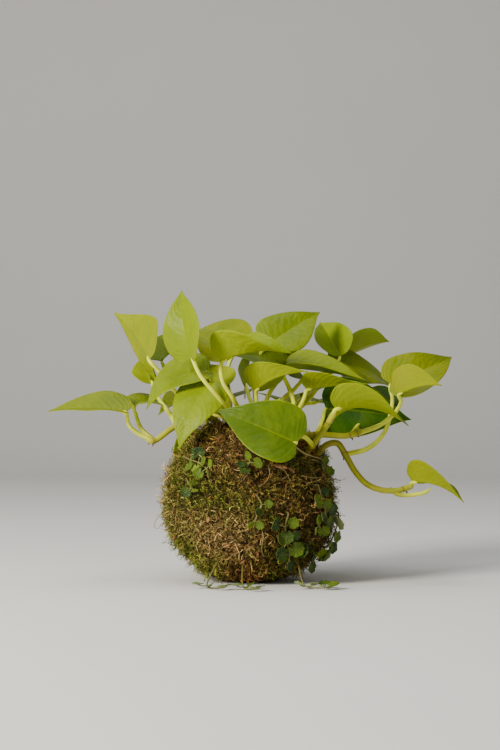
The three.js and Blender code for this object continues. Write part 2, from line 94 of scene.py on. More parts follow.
# Soil: radius and height along its wall and its crown
SOIL_FOOT = 8.5
SOIL_WALL = [[14, 8.5], [38, 17], [54, 38], [60, 63], [56, 90], [42, 112], [28.5, 119.2]]
SOIL_CROWN = [[24.5, 122.6], [20, 125], [10, 127.5]]
SOIL_TOP = 128
SOIL_ROWS = 24
SOIL_SIDES = 96
CRUMB_SIZES = (0.65, 1.2)
CRUMB_FLATNESS = 0.75

# Lumps of the moss bed and of the soil's crown: height, size and seed
BED_LUMPS = [(1.7, 13, 1), (0.7, 4, 2)]
CROWN_LUMPS = [(0.9, 6, 21), (0.5, 2.5, 22)]

# The moss bed lies this deep in the shoots, its lumps fade in over these heights, and so does its growth
BED_DEPTH = 4.2
BED_FADE = (0.5, 8)
RIM_LIFT = 0.4
GROWTH_START = (2.5, 7)

# Moss fibres: range of their curl, sway to either side, pieces, width as a share of the length, and leaflets,
# whose own sizes are shares of the fibre's length too
SHOOT = ((0.7, 2.3), 0.5, 4, 0.06, 7)
STRAND = ((1.2, 3.6), 1, 6, 0.075, 0)
STRAND_LENGTH = 1.2
FIBRE_TAPER = 0.4
LEAFLET_LENGTH = 0.27
LEAFLET_TAPER = 0.13
LEAFLET_WIDTH = 0.1
LEAFLET_LEAN = 0.9
LEAFLET_TURN = 0.9
LEAFLET_REACH = 0.2

# Blade: where its side veins leave the midrib and reach the edge, and how far out that is, as shares
BLADE_OUTLINE = [[0, 0, 0], [0, -0.055, 0.42], [0.05, 0.03, 0.86], [0.17, 0.18, 1], [0.33, 0.36, 0.93],
    [0.5, 0.54, 0.72], [0.67, 0.72, 0.42], [0.84, 0.88, 0.15], [1, 1, 0]]
BLADE_REACHES = [0, 0.03, 0.07, 0.14, 0.24, 0.36, 0.49, 0.62, 0.75, 0.87, 0.95, 1]
BLADE_ROWS = 40
CREASE = 0.05

# Edge and midrib of a blade: waves to a side, then thinning, height, taper and reach
EDGE_WAVES = (1.3, 2.2)
EDGE_WAVE_POWER = 2.5
EDGE_THINNING = 0.45
MIDRIB_HEIGHT = 0.95
MIDRIB_TAPER = 0.75
MIDRIB_REACH = 0.8

# Stalk: its radius, how far it runs into the blade, its taper, the knee under the blade, and the groove with
# a wing on either side
STALK_RADIUS = 1.8
STALK_SINK = 0.07
STALK_FOOT = 1.12
STALK_TAPER = 0.34
KNEE_SWELL = 0.12
KNEE_PLACE = 0.88
KNEE_REACH = 0.05
STALK_END = (0.9, 1)
STALK_DROP = 1.1
GROOVE_END = (0.5, 0.8)
GROOVE_DEPTH = 0.34
GROOVE_REACH = 0.33
WING_HEIGHT = 0.16
WING_PLACE = 0.72
WING_REACH = 0.3
TUBE_ENDS = (25, 50, 75, 89)

# Stem: its radius, its joints with the scar below each, and the buds of roots on a long one
STEM_RADIUS = 2.6
JOINT_SWELL = 0.3
JOINT_REACH = 2.2
SCAR_GAP = 2.4
SCAR_REACH = 0.7
STEM_TAPER = 0.12
ROOTING_LENGTH = 45
BUD_STOPS = [(1.8, 0), (3, 0), (4.4, 0.6)]
BUD_RADII = [0.9, 0.75, 0.3]
BUD_SWAY = 0.4

# Tones from one end to the other, with the stem's colour at 0 and the stalk's at 1, and the new shoot's shape
STALK_TONES = (0.55, 1)
STEM_TONES = (0, 0.4)
SHOOT_TONES = (0.2, 1)
SHOOT_TAPER = 0.15
SHOOT_END = (0.82, 1)
STREAKS = (0.12, 22, 1)
SCAR_BROWN = (0.16, 0.09, 0.02)

# Creeper: its runners, the fan of leaves at each stop, and how they lean and differ
RUNNER_RADIUS = 0.9
RUNNER_START = 0.85
RUNNER_TAPER = 0.3
CREEPER_LIFT = 2.4
CREEPER_TILT = 0.22
CREEPER_ROOT = 6
CREEPER_SPREAD = 1.5
FLOOR_LIFT = 2
FAN_STEP = 100
FAN_SWAY = 25
CREEPER_SWAY_BEAT = 7
CREEPER_SIZE_SWAY = 0.18
CREEPER_SIZE_BEAT = 5
CREEPER_SIZES = (0.88, 1.08)
CREEPER_ROLL = 24
CREEPER_STRONG_ROLL = 2.2
CREEPER_SLIGHT_ROLL = 0.6
CREEPER_NOD = (-22, 12)
CREEPER_TONES = [0.05, 0.2, 0.5, 0.9]
RUNNER_TONES = (0, 0.6)
TENDRIL_TONES = (0.4, 1)
TENDRIL_RADII = (0.5, 0.4)
TENDRIL_SINK = 0.45
TENDRIL_BOW = (0.3, 0.4)
RUNNER_BROWN = (0.12, 0.07, 0.02)

# Round creeper leaf: its rings, sides and lobes, then its edge, notch and relief in shares of its radius
ROUND_RINGS = [0, 0.15, 0.35, 0.55, 0.75, 0.9, 1]
ROUND_SIDES = 36
ROUND_LOBES = [5, 7, 9]
ROUND_EDGE = 1.03
EDGE_CHANGE = 0.03
SCALLOP = 0.05
NOTCH_DEPTH = 0.5
NOTCH_REACH = 0.22
SADDLE = 0.07
PUCKER = 0.05
ROUND_THINNING = 0.4

# Stage, in metres
CAMERA_PLACE = (0, -1.6, 0.164)
CAMERA_LENS = 96
FLOOR_FRONT = -3.2
FLOOR_BACK = 1.6
FLOOR_BEND = 0.8
FLOOR_SIDE = 4
BACKDROP_TOP = 3.4
SKY_COLOUR = (0.93, 0.96, 1, 1)
SKY_STRENGTH = 0.19

# Lights: name, place, aim, width and colour
LIGHTS = [
    ["key", (-1.25, -1.15, 0.9), (0, 0, 0.13), 0.55, (1, 0.95, 0.84)],
    ["fill", (1.3, -1.3, 0.7), (0, 0, 0.1), 1.4, (1, 1, 1)],
    ["top", (-0.2, 0.1, 1.7), (0, 0, 0.15), 1.2, (1, 1, 1)],
]

# The vine's leafy stems: the stem's route, then each leaf's stalk, the point where the blade starts, its tip,
# the way its upper side faces and its width. fold, cup and twist are in degrees, arch and bend shares of the
# length. tone runs from deep green at 0 to bright yellow-green at 1, and age is how far a blade has yellowed.
# tone also carries painted light: it was raised on blades that lie in shadow and lowered on some that catch
# the light.
PLAIN_BLADE = {"fold": 20, "cup": 6, "arch": 0.05, "bend": 0, "twist": 0, "age": 0}


def new_leaf(stalk, base, tip, face, width, **changes):
    """A leaf of the vine, a plain blade but for the changes."""
    return {**PLAIN_BLADE, "stalk": stalk, "base": base, "tip": tip, "face": face, "width": width, **changes}


def new_stem(route, leaves, shoot=None):
    """A leafy stem, with the route of its new shoot where it has one."""
    return {"route": route, "leaves": leaves, "shoot": shoot}


def new_sprig(root, over, leaves, size, floor=()):
    """A sprig of creeper."""
    return {"root": root, "over": over, "leaves": leaves, "size": size, "floor": floor}


LEAFY_STEMS = {
    "vine_left": new_stem([[-19, -2, 106], [-22, -4, 122], [-32, -8, 130], [-51, -14, 128],
        [-63, -16, 121], [-76, -18, 112], [-80, -18, 113]], [
        new_leaf([[-78, -18, 113], [-89, -18, 118], [-96, -19, 125]], [-98, -19, 135], [-161, -11, 135],
            [0, -0.4, 0.9], 43, fold=23, cup=4, twist=10, tone=0.72, age=0.7),
        new_leaf([[-77, -17, 113], [-82, -15, 117], [-87, -10, 122], [-91, -5, 132]], [-93, -3, 140],
            [-66, 44, 138], [0.3, -0.1, 0.9], 36, fold=16, cup=12, arch=0.08, twist=-40, tone=0.62, age=0.5),
        new_leaf([[-58, -15, 124], [-63, -6, 132], [-74, 10, 146]], [-80, 25, 157], [-85, 60, 184],
            [-0.6, 0.4, -0.7], 31, cup=2, twist=12, tone=1.1, age=0.3),
    ]),
    "stem_left_front": new_stem([[-9, -17, 104], [-11, -20, 122], [-14, -23, 131]], [
        new_leaf([[-13, -22, 128], [-17, -33, 137], [-25, -42, 147], [-39, -43, 164]], [-46, -40, 178],
            [-54, -20, 231], [-0.6, -0.78, 0.2], 44, fold=26, cup=12, arch=0.12, bend=0.04, twist=-50, tone=1,
            age=0.1),
        new_leaf([[-14, -22, 129], [-20, -17, 136], [-27, -13, 145], [-30, -15, 153]], [-31, -23, 158],
            [-55, -44, 106], [-0.2, -0.8, 0.6], 43, fold=12, cup=16, arch=0.1, bend=0.03, twist=13, tone=0.98,
            age=0.15),
        new_leaf([[-13, -21, 129], [-17, -11, 138], [-24, -5, 150], [-31, -5, 161]], [-34, -10, 167],
            [-82, -21, 137], [-0.3, -0.6, 0.7], 41, fold=26, cup=10, arch=0.11, bend=0.08, tone=0.84,
            age=0.2),
    ]),
    "stem_left_back": new_stem([[-15, 6, 104], [-17, 8, 122], [-18, 9, 130]], [
        new_leaf([[-18, 9, 127], [-23, 8, 133], [-40, 5, 138], [-59, 3, 150], [-72, 2, 166]], [-80, 2, 176],
            [-113, 61, 216], [0.9, 0.5, 0], 53, fold=18, cup=2, arch=0.06, twist=-24, tone=0.42, age=0.5),
        new_leaf([[-18, 9, 127], [-24, 16, 137], [-46, 32, 150], [-66, 42, 165]], [-73, 46, 176],
            [-57, 94, 204], [-0.2, -0.4, 0.9], 40, fold=37, cup=10, arch=0, twist=-12, tone=1.4, age=0.1),
        new_leaf([[-18, 9, 127], [-16, 18, 141], [-19, 38, 163], [-17, 50, 174]], [-15, 56, 181],
            [-47, 106, 201], [-0.2, -0.5, 0.9], 50, fold=13, cup=-2, arch=0.14, bend=0.07, twist=-22,
            tone=0.78, age=0.9),
        new_leaf([[-18, 9, 127], [-17, 14, 139], [-20, 18, 148]], [-23, 22, 154], [-47, 68, 176],
            [0.6, 0.6, -0.6], 36, cup=13, tone=0.8, age=0.2),
    ]),
    "stem_centre": new_stem([[3, -11, 104], [2, -13, 122], [0, -16, 131]], [
        new_leaf([[0, -16, 130], [-9, -29, 138], [-14, -39, 147], [-21, -41, 158], [-23, -39, 168]],
            [-22, -34, 175], [33, -38, 181], [0, -0.2, 0.98], 51, fold=42, cup=2, arch=0.1, bend=0.04,
            twist=-100, tone=1.3),
        new_leaf([[1, -16, 130], [5, -15, 141]], [5, -14, 152], [45, -46, 167], [-0.1, 0.5, 0.85], 39,
            fold=38, cup=4, arch=0.04, bend=0.08, twist=-24, tone=0.9, age=0.2),
        new_leaf([[1, -16, 130], [2, 2, 138], [-1, 20, 147]], [-4, 28, 154], [2, 70, 182], [-1, 0.2, -0.1],
            29, fold=15, tone=1.2, age=0.2),
    ]),
    "stem_centre_back": new_stem([[8, 9, 104], [9, 10, 122], [9, 11, 131]], [
        new_leaf([[9, 11, 128], [4, 13, 146], [5, 12, 166], [9, 11, 182]], [17, 12, 190], [58, 51, 216],
            [0.2, -0.6, 0.7], 44, fold=17, cup=13, arch=0.03, twist=-8, tone=0.84, age=0.1),
        new_leaf([[9, 11, 128], [15, 12, 148], [27, 12, 165]], [34, 14, 174], [-16, 9, 180], [0, -0.7, 0.7],
            34, fold=14, cup=4, arch=0.06, tone=0.75, age=0.3),
    ]),
    "stem_right": new_stem([[24, -5, 104], [26, -7, 121], [29, -9, 129]], [
        new_leaf([[28, -9, 127], [35, -9, 140], [31, -6, 154], [27, -6, 164]], [32, -8, 170], [92, -10, 160],
            [0.1, -0.35, 0.93], 44, fold=32, cup=4, arch=0.03, twist=-12, tone=1.3, age=0.2),
        new_leaf([[28, -9, 127], [38, -14, 136], [43, -18, 146]], [45, -17, 153], [92, -29, 157],
            [0, 0.2, 0.98], 34, fold=30, cup=4, arch=0.02, twist=-44, tone=0.9, age=0.1),
        new_leaf([[28, -8, 127], [26, 0, 143], [36, 6, 153]], [43, 9, 161], [31, 47, 175], [-0.6, 0.2, -0.8],
            25, fold=30, cup=15, arch=0, bend=-0.08, twist=-12, tone=0.8, age=0.1),
    ]),
    "stem_right_front": new_stem([[36, -19, 90], [41, -26, 101], [48, -34, 108], [54, -38, 116],
        [60, -43, 125], [65, -48, 134]], [
        new_leaf([[62, -45, 129], [65, -48, 134]], [66, -50, 138], [125, -24, 124], [0, 0.05, 1], 47, fold=18,
            cup=0, arch=0.1, bend=0.04, twist=-92, tone=1.1),
        new_leaf([[49, -35, 109], [42, -50, 116], [36, -60, 116]], [35, -64, 112], [-26, -50, 137],
            [-0.1, -0.9, 0.3], 53, fold=22, cup=2, twist=18, tone=0.47, age=0.05),
    ]),
    "vine_right_upper": new_stem([[22, -20, 99], [30, -26, 110], [42, -31, 116], [58, -27, 117],
        [75, -24, 116], [88, -18, 119]], [
        new_leaf([[86, -19, 118], [104, -17, 125], [116, -20, 136], [119, -25, 144]], [117, -27, 149],
            [148, -61, 156], [0.4, 0.5, 0.8], 41, fold=40, cup=-4, arch=0.09, twist=-14, tone=0.72, age=0.9),
        new_leaf([[80, -22, 117], [88, 0, 126], [91, 17, 134]], [92, 27, 139], [125, 62, 143],
            [0.7, -0.7, -0.1], 36, fold=30, cup=10, arch=0.07, tone=0.14, age=0.2),
        new_leaf([[52, -29, 117], [55, -19, 122], [58, -7, 129]], [61, 3, 137], [130, 10, 128],
            [0, -0.9, 0.44], 55, fold=20, cup=10, arch=0.05, tone=0.12),
    ]),
    "vine_right_trailing": new_stem([[44, -12, 88], [53, -18, 101], [61, -20, 109], [69, -19, 110],
        [76, -17, 100], [83, -15, 88], [92, -13, 78], [103, -11, 73], [116, -9, 72], [128, -6, 75]], [
        new_leaf([[124, -7, 74], [128, -5, 76]], [130, -3, 79], [168, -28, 64], [0.4, 0.2, 0.9], 41, fold=31,
            cup=2, arch=0.1, bend=0.03, twist=-26, tone=0.74, age=0.8),
        new_leaf([[75, -17, 101], [92, -14, 105], [102, -11, 112], [109, -6, 122], [114, 1, 144]],
            [113, 8, 157], [166, 43, 179], [0.2, -0.7, 0.7], 44, fold=19, cup=11, arch=0.1, bend=0.07,
            tone=0.84, age=0.8),
    ], shoot=[[112, -9, 73], [118, -10, 69], [137, -10, 70], [145, -8, 74]]),
    "stem_right_back": new_stem([[18, 18, 104], [20, 20, 121], [22, 22, 129]], [
        new_leaf([[22, 21, 127], [36, 27, 138], [54, 35, 152], [68, 43, 169]], [74, 48, 180], [59, 96, 209],
            [-0.15, -0.62, 0.77], 39, fold=43, cup=2, arch=0.04, tone=0.95),
        new_leaf([[22, 22, 127], [36, 34, 137], [55, 52, 152], [70, 69, 168]], [78, 76, 178], [120, 123, 193],
            [-0.6, 0.3, 0.7], 45, fold=19, cup=3, arch=0.04, bend=0.05, tone=1.4, age=0.3),
        new_leaf([[22, 21, 128], [41, 19, 138], [56, 20, 156]], [60, 24, 170], [98, 38, 157],
            [0.3, -0.3, 0.9], 36, fold=14, cup=10, arch=0.08, twist=-16, tone=0.8, age=0.7),
        new_leaf([[22, 22, 127], [42, 34, 144], [60, 46, 164]], [70, 52, 173], [122, 80, 150],
            [0.15, -0.52, 0.85], 50, fold=12, cup=10, arch=0.1, tone=0.85, age=0.6),
    ]),
    "stem_back_left": new_stem([[-12, 20, 104], [-14, 22, 120], [-16, 24, 128]], [
        new_leaf([[-16, 25, 126], [-28, 42, 137]], [-38, 57, 144], [-78, 98, 130], [-0.4, 0.5, 0.8], 45,
            arch=0.1, tone=0.55, age=0.2),
        new_leaf([[-16, 25, 126], [-17, 44, 138]], [-19, 62, 145], [-23, 121, 137], [0, 0.4, 0.9], 41,
            arch=0.1, bend=0.05, tone=0.7, age=0.5),
        new_leaf([[-16, 24, 127], [-28, 42, 131], [-36, 60, 124]], [-38, 66, 114], [-46, 84, 58],
            [-0.4, 0.9, 0.2], 44, arch=0.06, bend=-0.04, tone=0.4, age=0.1),
    ]),
    "stem_back_right": new_stem([[9, 22, 104], [10, 24, 119], [11, 26, 128]], [
        new_leaf([[11, 26, 127], [17, 47, 138]], [25, 65, 144], [40, 121, 127], [0.1, 0.4, 0.9], 45, arch=0.1,
            tone=0.6, age=0.3),
        new_leaf([[11, 26, 127], [31, 44, 136], [46, 54, 140]], [54, 60, 142], [96, 98, 120], [0.4, 0.4, 0.8],
            43, arch=0.1, bend=-0.04, tone=0.45),
        new_leaf([[11, 26, 127], [12, 46, 132], [8, 63, 124]], [5, 68, 114], [-4, 88, 56], [0, 0.95, 0.3], 48,
            arch=0.05, bend=0.04, tone=0.75, age=0.6),
    ]),
}

# The creeper's sprigs: the angle and height at which one roots in the moss, its stops over the moss, the
# number of leaves at each stop, their radius, and its stops on the surface that the ball stands on
CREEPER_SPRIGS = {
    "creeper_left_top": new_sprig([-146, 99], [[-138, 97], [-129, 95], [-121, 91]], [2, 3, 3], 4.3),
    "creeper_left": new_sprig([-137, 83], [[-130, 76]], [3], 3.4),
    "creeper_front_top": new_sprig([-97, 92], [[-90, 96]], [4], 4.4),
    "creeper_front": new_sprig([-86, 72], [[-83, 65], [-87, 53]], [2, 2], 3.6),
    "creeper_right_top": new_sprig([-40, 97], [[-26, 92]], [4], 4.4),
    "creeper_right": new_sprig([-42, 78], [[-38, 68], [-35, 57], [-40, 47]], [3, 3, 3], 4.6),
    "creeper_right_low": new_sprig([-66, 58], [[-67, 48], [-64, 36], [-59, 25]], [3, 4, 3], 5.5),
    "creeper_right_edge": new_sprig([-11, 55], [[-14, 44], [-19, 32], [-28, 21]], [3, 3, 4], 4.8),
    "creeper_foot_left": new_sprig([-116, 20], [], [2, 2], 4, floor=[[-33, -64], [-23, -76]]),
    "creeper_foot_centre": new_sprig([-96, 18], [], [2, 2], 4, floor=[[-5, -71], [2, -85]]),
    "creeper_foot_right": new_sprig([-50, 21], [], [2, 3], 4.6, floor=[[43, -66], [57, -72]]),
    "creeper_back": new_sprig([64, 80], [[61, 70], [55, 59]], [3, 3], 4.6),
    "creeper_back_left": new_sprig([133, 66], [[138, 55]], [4], 4.6),
}

# Kinds of moss: how common each is, how much that changes over the ball, the size of its lumps and their seed
# The dark kind is painted shade: darker moss in lumps over the ball and in patches low on its right, away from
# the key light.
MOSS_KINDS = [("green", 0.5, 0.35, 13, 3), ("tan", 0.12, 0.3, 9, 5), ("brown", 0.3, 0.4, 11, 4),
    ("rust", 0.03, 0.2, 10, 6), ("dark", 0.1, 0.2, 12, 7)]

# How dry the dry kinds are, the sway of the patches' edges, and how plainly one kind gives way to the next
DRYNESS = {"tan": 1, "rust": 1, "brown": 0.6}
# Painted shade that the moss bed is mixed towards where it lies under the shoots
PAINTED_BED_SHADE = (0.02, 0.013, 0.006)
PATCH_SWAY = 7
PATCH_SWAY_SIZE = 16
PATCH_CONTRAST = 1.5
MOSS_SHADING = (0.3, 7, 11)
SHADE_RANGE = (0.5, 1.5)

# Patches of the moss: angle, height and reach on the ball, the kind of moss there and how strongly it shows
# The dark patches are painted shade.
MOSS_PATCHES = [
    [-118, 108, 24, "brown", 2.2], [-128, 84, 26, "green", 1.1], [-155, 92, 22, "green", 1.0],
    [-122, 46, 24, "tan", 0.9], [-150, 50, 20, "tan", 0.5], [-148, 20, 26, "green", 1.3],
    [-99, 34, 18, "tan", 1.5], [-96, 8, 16, "rust", 1.4], [-112, 66, 18, "green", 0.9],
    [-92, 94, 18, "brown", 1.4], [-78, 66, 20, "green", 0.7], [-66, 74, 24, "brown", 1.1],
    [-48, 92, 18, "green", 0.7], [-35, 108, 12, "rust", 1.2], [-40, 60, 26, "brown", 1.3],
    [-58, 24, 28, "dark", 1.3], [-20, 40, 26, "dark", 0.9], [-75, 44, 12, "rust", 0.7],
    [10, 80, 30, "green", 1.0], [30, 40, 26, "brown", 1.0], [60, 96, 26, "green", 1.1],
    [75, 50, 24, "tan", 1.0], [105, 24, 26, "green", 1.0], [115, 84, 26, "brown", 0.9],
    [145, 48, 24, "green", 1.1], [165, 80, 22, "tan", 0.7], [178, 24, 24, "green", 0.9],
]

# Loose fibres that stand out from the moss, by the points that each passes through, and its thickness
LOOSE_FIBRES = [
    [[[-61, -12, 74], [-64, -14, 80], [-69, -15, 84], [-72, -14, 84]], 0.35],
    [[[-65, -8, 58], [-71, -10, 53], [-75, -9, 48], [-76, -8, 43], [-73, -8, 42], [-71, -9, 45]], 0.4],
    [[[-64, 4, 62], [-71, 2, 64], [-75, 0, 62]], 0.3],
    [[[60, -22, 82], [66, -22, 82], [73, -21, 81], [76, -20, 83]], 0.35],
    [[[63, -14, 50], [70, -14, 46], [75, -13, 46]], 0.35],
    [[[28, -50, 112], [33, -52, 110], [41, -50, 104], [48, -46, 101], [55, -42, 99]], 0.8],
    [[[14, -64, 95], [15, -68, 88], [12, -69, 82], [7, -70, 79]], 0.35],
    [[[20, -67, 94], [27, -65, 90], [31, -62, 82]], 0.35],
    [[[40, -52, 86], [50, -45, 84], [60, -33, 85]], 0.5],
    [[[8, -68, 50], [10, -68, 40], [9, -65, 30], [11, -62, 24]], 0.45],
    [[[-40, 52, 96], [-46, 56, 90], [-52, 55, 86]], 0.4],
    [[[38, 54, 58], [44, 60, 52], [43, 62, 44]], 0.4],
]

# Chips of bark caught in the moss: angle, height, length, width and turn, then the shape that all share
BARK_CHIPS = [
    [-68, 93, 13, 3.2, 168], [-60, 90, 6, 2.2, 140], [-106, 33, 7, 2, 20], [-100, 30, 5, 2, 130],
    [-118, 52, 5, 2.2, 60], [-84, 26, 6, 2, 95], [-96, 20, 5, 1.8, 40], [-128, 100, 5, 2, 120],
    [-44, 64, 7, 2.4, 70], [-30, 86, 6, 2, 10], [-155, 36, 5, 2, 45], [40, 70, 8, 3, 75],
    [95, 60, 7, 2.6, 30], [130, 98, 6, 2.4, 110], [160, 44, 6, 2, 60], [70, 30, 6, 2.2, 95],
    [-75, 12, 5, 1.8, 80],
]
CHIP_ROWS = 7
CHIP_LIFT = 1.2
CHIP_TAPER = 0.75
CHIP_WIDTHS = (0.8, 1.1)
CHIP_BOW = 0.8
CHIP_SWAY = 0.2
CHIP_RIDGE = 0.35
CHIP_THICKNESS = 0.7

# Dull finishes: the two colours of each, the scale of their mottling and the depth of the grain
DULL_FINISHES = {
    "root bark": [(0.22, 0.12, 0.045), (0.09, 0.045, 0.018), 400.0, 0.0003],
    "dry fibre": [(0.36, 0.27, 0.11), (0.2, 0.16, 0.05), 150.0, 0.0002],
    "bark chip": [(0.4, 0.2, 0.075), (0.16, 0.065, 0.02), 400.0, 0.0004],
}


# Settings

def number_setting(name, description, value, measure="NONE"):
    """A number that a user can change."""
    return bpy.props.FloatProperty(name=name, description=description, default=value, unit=measure)


def colour_setting(name, description, colour):
    """A colour that a user can change."""
    return bpy.props.FloatVectorProperty(name=name, description=description, default=colour, subtype="COLOR",
        size=3)


class KokedamaLeafSettings(bpy.types.PropertyGroup):
    """Sizes and colours of the vine."""

    thickness: number_setting("Blade thickness", "Thickness of a blade beside its midrib", 0.0006, "LENGTH")
    wave: number_setting("Edge wave", "Height of the soft waves along a blade's edge", 0.0009, "LENGTH")
    veins: bpy.props.IntProperty(name="Side veins", description="Side veins on each half of a blade",
        default=12)
    deep: colour_setting("Deep green", "Upper side of the darkest blades", (0.014, 0.06, 0))
    middle: colour_setting("Leaf green", "Upper side of the middle blades", (0.075, 0.13, 0))
    bright: colour_setting("Yellow-green", "Upper side of the brightest blades", (0.185, 0.25, 0))
    pale: colour_setting("Underside", "Pale underside of the blades", (0.26, 0.31, 0.002))
    ripe: colour_setting("Yellowed", "Blades that have yellowed with age", (0.22, 0.2, 0))
    stalk: colour_setting("Stalk", "Stalks near the blades", (0.86, 0.93, 0.06))
    stem: colour_setting("Stem", "Vine stems and the foot of the stalks", (0.19, 0.15, 0))


class KokedamaCreeperSettings(bpy.types.PropertyGroup):
    """Sizes and colours of the creeper."""

    thickness: number_setting("Leaf thickness", "Thickness of a creeper leaf", 0.0004, "LENGTH")
    cup: number_setting("Cup", "Height of a leaf's edge over its middle, by its radius", 0.16)
    dark: colour_setting("Blue-green", "Upper side of the old leaves", (0.013, 0.036, 0.007))
    light: colour_setting("Light green", "Upper side of the young leaves", (0.14, 0.205, 0.004))
    pale: colour_setting("Underside", "Pale underside of the leaves", (0.23, 0.29, 0.1))
    runner: colour_setting("Runner", "Runners and leaf stalks", (0.2, 0.22, 0.04))


class KokedamaMossSettings(bpy.types.PropertyGroup):
    """Growth and colours of the moss."""

    shoots: number_setting("Shoots", "Leafy shoots to a square metre of the ball", 190000)
    strands: number_setting("Strands", "Dry strands to a square metre of the ball", 420000)
    length: number_setting("Length", "Length of a shoot", 0.0068, "LENGTH")
    droop: number_setting("Droop", "How strongly the shoots lean down", 0.2)
    green: colour_setting("Green", "Fresh moss", (0.185, 0.24, 0.016))
    tan: colour_setting("Tan", "Dry pale moss", (0.69, 0.44, 0.17))
    brown: colour_setting("Brown", "Dead moss", (0.26, 0.12, 0.035))
    rust: colour_setting("Rust", "Rusty moss", (0.46, 0.13, 0.03))
    # Dark is painted shade: the gaps of the moss bed and the dark moss patches low on the ball's right.
    dark: colour_setting("Dark", "Damp moss in the shade", (0.085, 0.06, 0.01))


class KokedamaSoilSettings(bpy.types.PropertyGroup):
    """Grain and colour of the soil."""

    crumbs: number_setting("Crumbs", "Crumbs to a square metre of the crown", 260000)
    size: number_setting("Crumb size", "Width of a crumb", 0.0018, "LENGTH")
    colour: colour_setting("Soil", "Damp soil", (0.045, 0.028, 0.016))


class KokedamaStageSettings(bpy.types.PropertyGroup):
    """Floor and lights."""

    floor: colour_setting("Floor", "Floor and backdrop", (0.74, 0.73, 0.71))
    key: number_setting("Key light", "Power of the key light", 58, "POWER")
    fill: number_setting("Fill light", "Power of the fill light", 3, "POWER")
    top: number_setting("Top light", "Power of the top light", 14, "POWER")


# Curves and meshes

def smooth_rows(rows, count):
    """Evenly spaced rows on a smooth curve through the given ones."""
    rows = np.array(rows, float)
    padded = np.vstack([2 * rows[0] - rows[1], rows, 2 * rows[-1] - rows[-2]])
    made = []
    for place in np.linspace(0, len(rows) - 1, count + 1):
        i = min(int(place), len(rows) - 2)
        f = place - i
        a, b, c, d = padded[i:i + 4]
        made.append(0.5 * (2 * b + (c - a) * f + (2 * a - 5 * b + 4 * c - d) * f ** 2
            + (3 * b - 3 * c + d - a) * f ** 3))
    return np.array(made)


def smooth_path(points, step):
    """Points a step apart on the centripetal curve through the given ones, as in the part's stems."""
    points = np.array(points, float)
    padded = np.vstack([2 * points[0] - points[1], points, 2 * points[-1] - points[-2]])
    made = []
    for i in range(len(points) - 1):
        a, b, c, d = padded[i:i + 4]
        before, here, after = (np.sum((q - p) ** 2) ** 0.25 for p, q in ((a, b), (b, c), (c, d)))
        leave = ((b - a) / before - (c - a) / (before + here) + (c - b) / here) * here
        arrive = ((c - b) / here - (d - b) / (here + after) + (d - c) / after) * here
        pieces = max(2, math.ceil(np.linalg.norm(c - b) / step))
        for f in np.arange(pieces) / pieces:
            made.append(b * (2 * f ** 3 - 3 * f ** 2 + 1) + leave * (f ** 3 - 2 * f ** 2 + f)
                + c * (3 * f ** 2 - 2 * f ** 3) + arrive * (f ** 3 - f ** 2))
    made.append(points[-1])
    return np.array(made)


def lengths_along(points):
    """Length of a path from its start to each of its points."""
    return np.concatenate([[0], np.cumsum(np.linalg.norm(np.diff(points, axis=0), axis=1))])


def unit(vectors):
    """Vectors of length one."""
    vectors = np.asarray(vectors, float)
    return vectors / np.maximum(np.linalg.norm(vectors, axis=-1, keepdims=True), 1e-9)


def smoothstep(value, low, high):
    """A smooth ramp from 0 at low to 1 at high."""
    share = np.clip((np.asarray(value, float) - low) / (high - low), 0, 1)
    return share * share * (3 - 2 * share)


class Shape:
    """Collects the places, faces and marks of one piece, in millimetres, before they become a mesh."""

    def __init__(self):
        self.places = []
        self.marks = []
        self.faces = []
        self.finishes = []
        self.count = 0

    def add(self, places, faces, finish, marks):
        """Adds places with their marks (u, v, tone, under, age) and the faces between them."""
        self.places.append(places)
        self.marks.append(marks)
        self.faces += [tuple(int(corner) + self.count for corner in face) for face in faces]
        self.finishes += [finish] * len(faces)
        self.count += len(places)

    def add_two_sided(self, upper, lower, surface, rim, tone=0, age=0):
        """Adds a thin leaf from the grids of its two sides and their (u, v), closed along its rim."""
        count = surface[..., 0].size
        faces = grid_faces(*surface.shape[:2])
        faces += [tuple(corner + count for corner in reversed(face)) for face in faces]
        faces += [(a, b, b + count, a + count) for a, b in rim]
        marks = [np.column_stack([surface.reshape(-1, 2), np.tile([tone, under, age], (count, 1))])
            for under in (0, 1)]
        self.add(np.vstack([upper.reshape(-1, 3), lower.reshape(-1, 3)]), faces, 0, np.vstack(marks))

    def make(self, name, finishes):
        """The finished object, welded, with its faces outwards and its marks as a UV map and attributes."""
        marks = np.vstack(self.marks)
        mesh = marked_mesh(name, np.vstack(self.places), self.faces,
            {"tone": marks[:, 2], "under": marks[:, 3], "age": marks[:, 4]})
        mesh.polygons.foreach_set("material_index", self.finishes)
        corners = np.zeros(len(mesh.loops), int)
        mesh.loops.foreach_get("vertex_index", corners)
        mesh.uv_layers.new(name="surface").data.foreach_set("uv", marks[corners, :2].ravel())
        for finish in finishes:
            mesh.materials.append(finish)
        return shown(name, weld(mesh))


def weld(mesh):
    """The mesh with its doubles merged, its faces outwards and smooth."""
    work = bmesh.new()
    work.from_mesh(mesh)
    bmesh.ops.remove_doubles(work, verts=work.verts, dist=WELD_REACH * MM)
    bmesh.ops.recalc_face_normals(work, faces=work.faces)
    for face in work.faces:
        face.smooth = True
    work.to_mesh(mesh)
    work.free()
    return mesh


def shown(name, data):
    """An object of the scene with a mesh, a light or a camera."""
    made = bpy.data.objects.new(name, data)
    bpy.context.scene.collection.objects.link(made)
    return made


def grid_faces(rows, columns):
    """Faces between the rows and columns of a grid."""
    faces = []
    for row in range(rows - 1):
        for column in range(columns - 1):
            a = row * columns + column
            faces.append((a, a + columns, a + columns + 1, a + 1))
    return faces


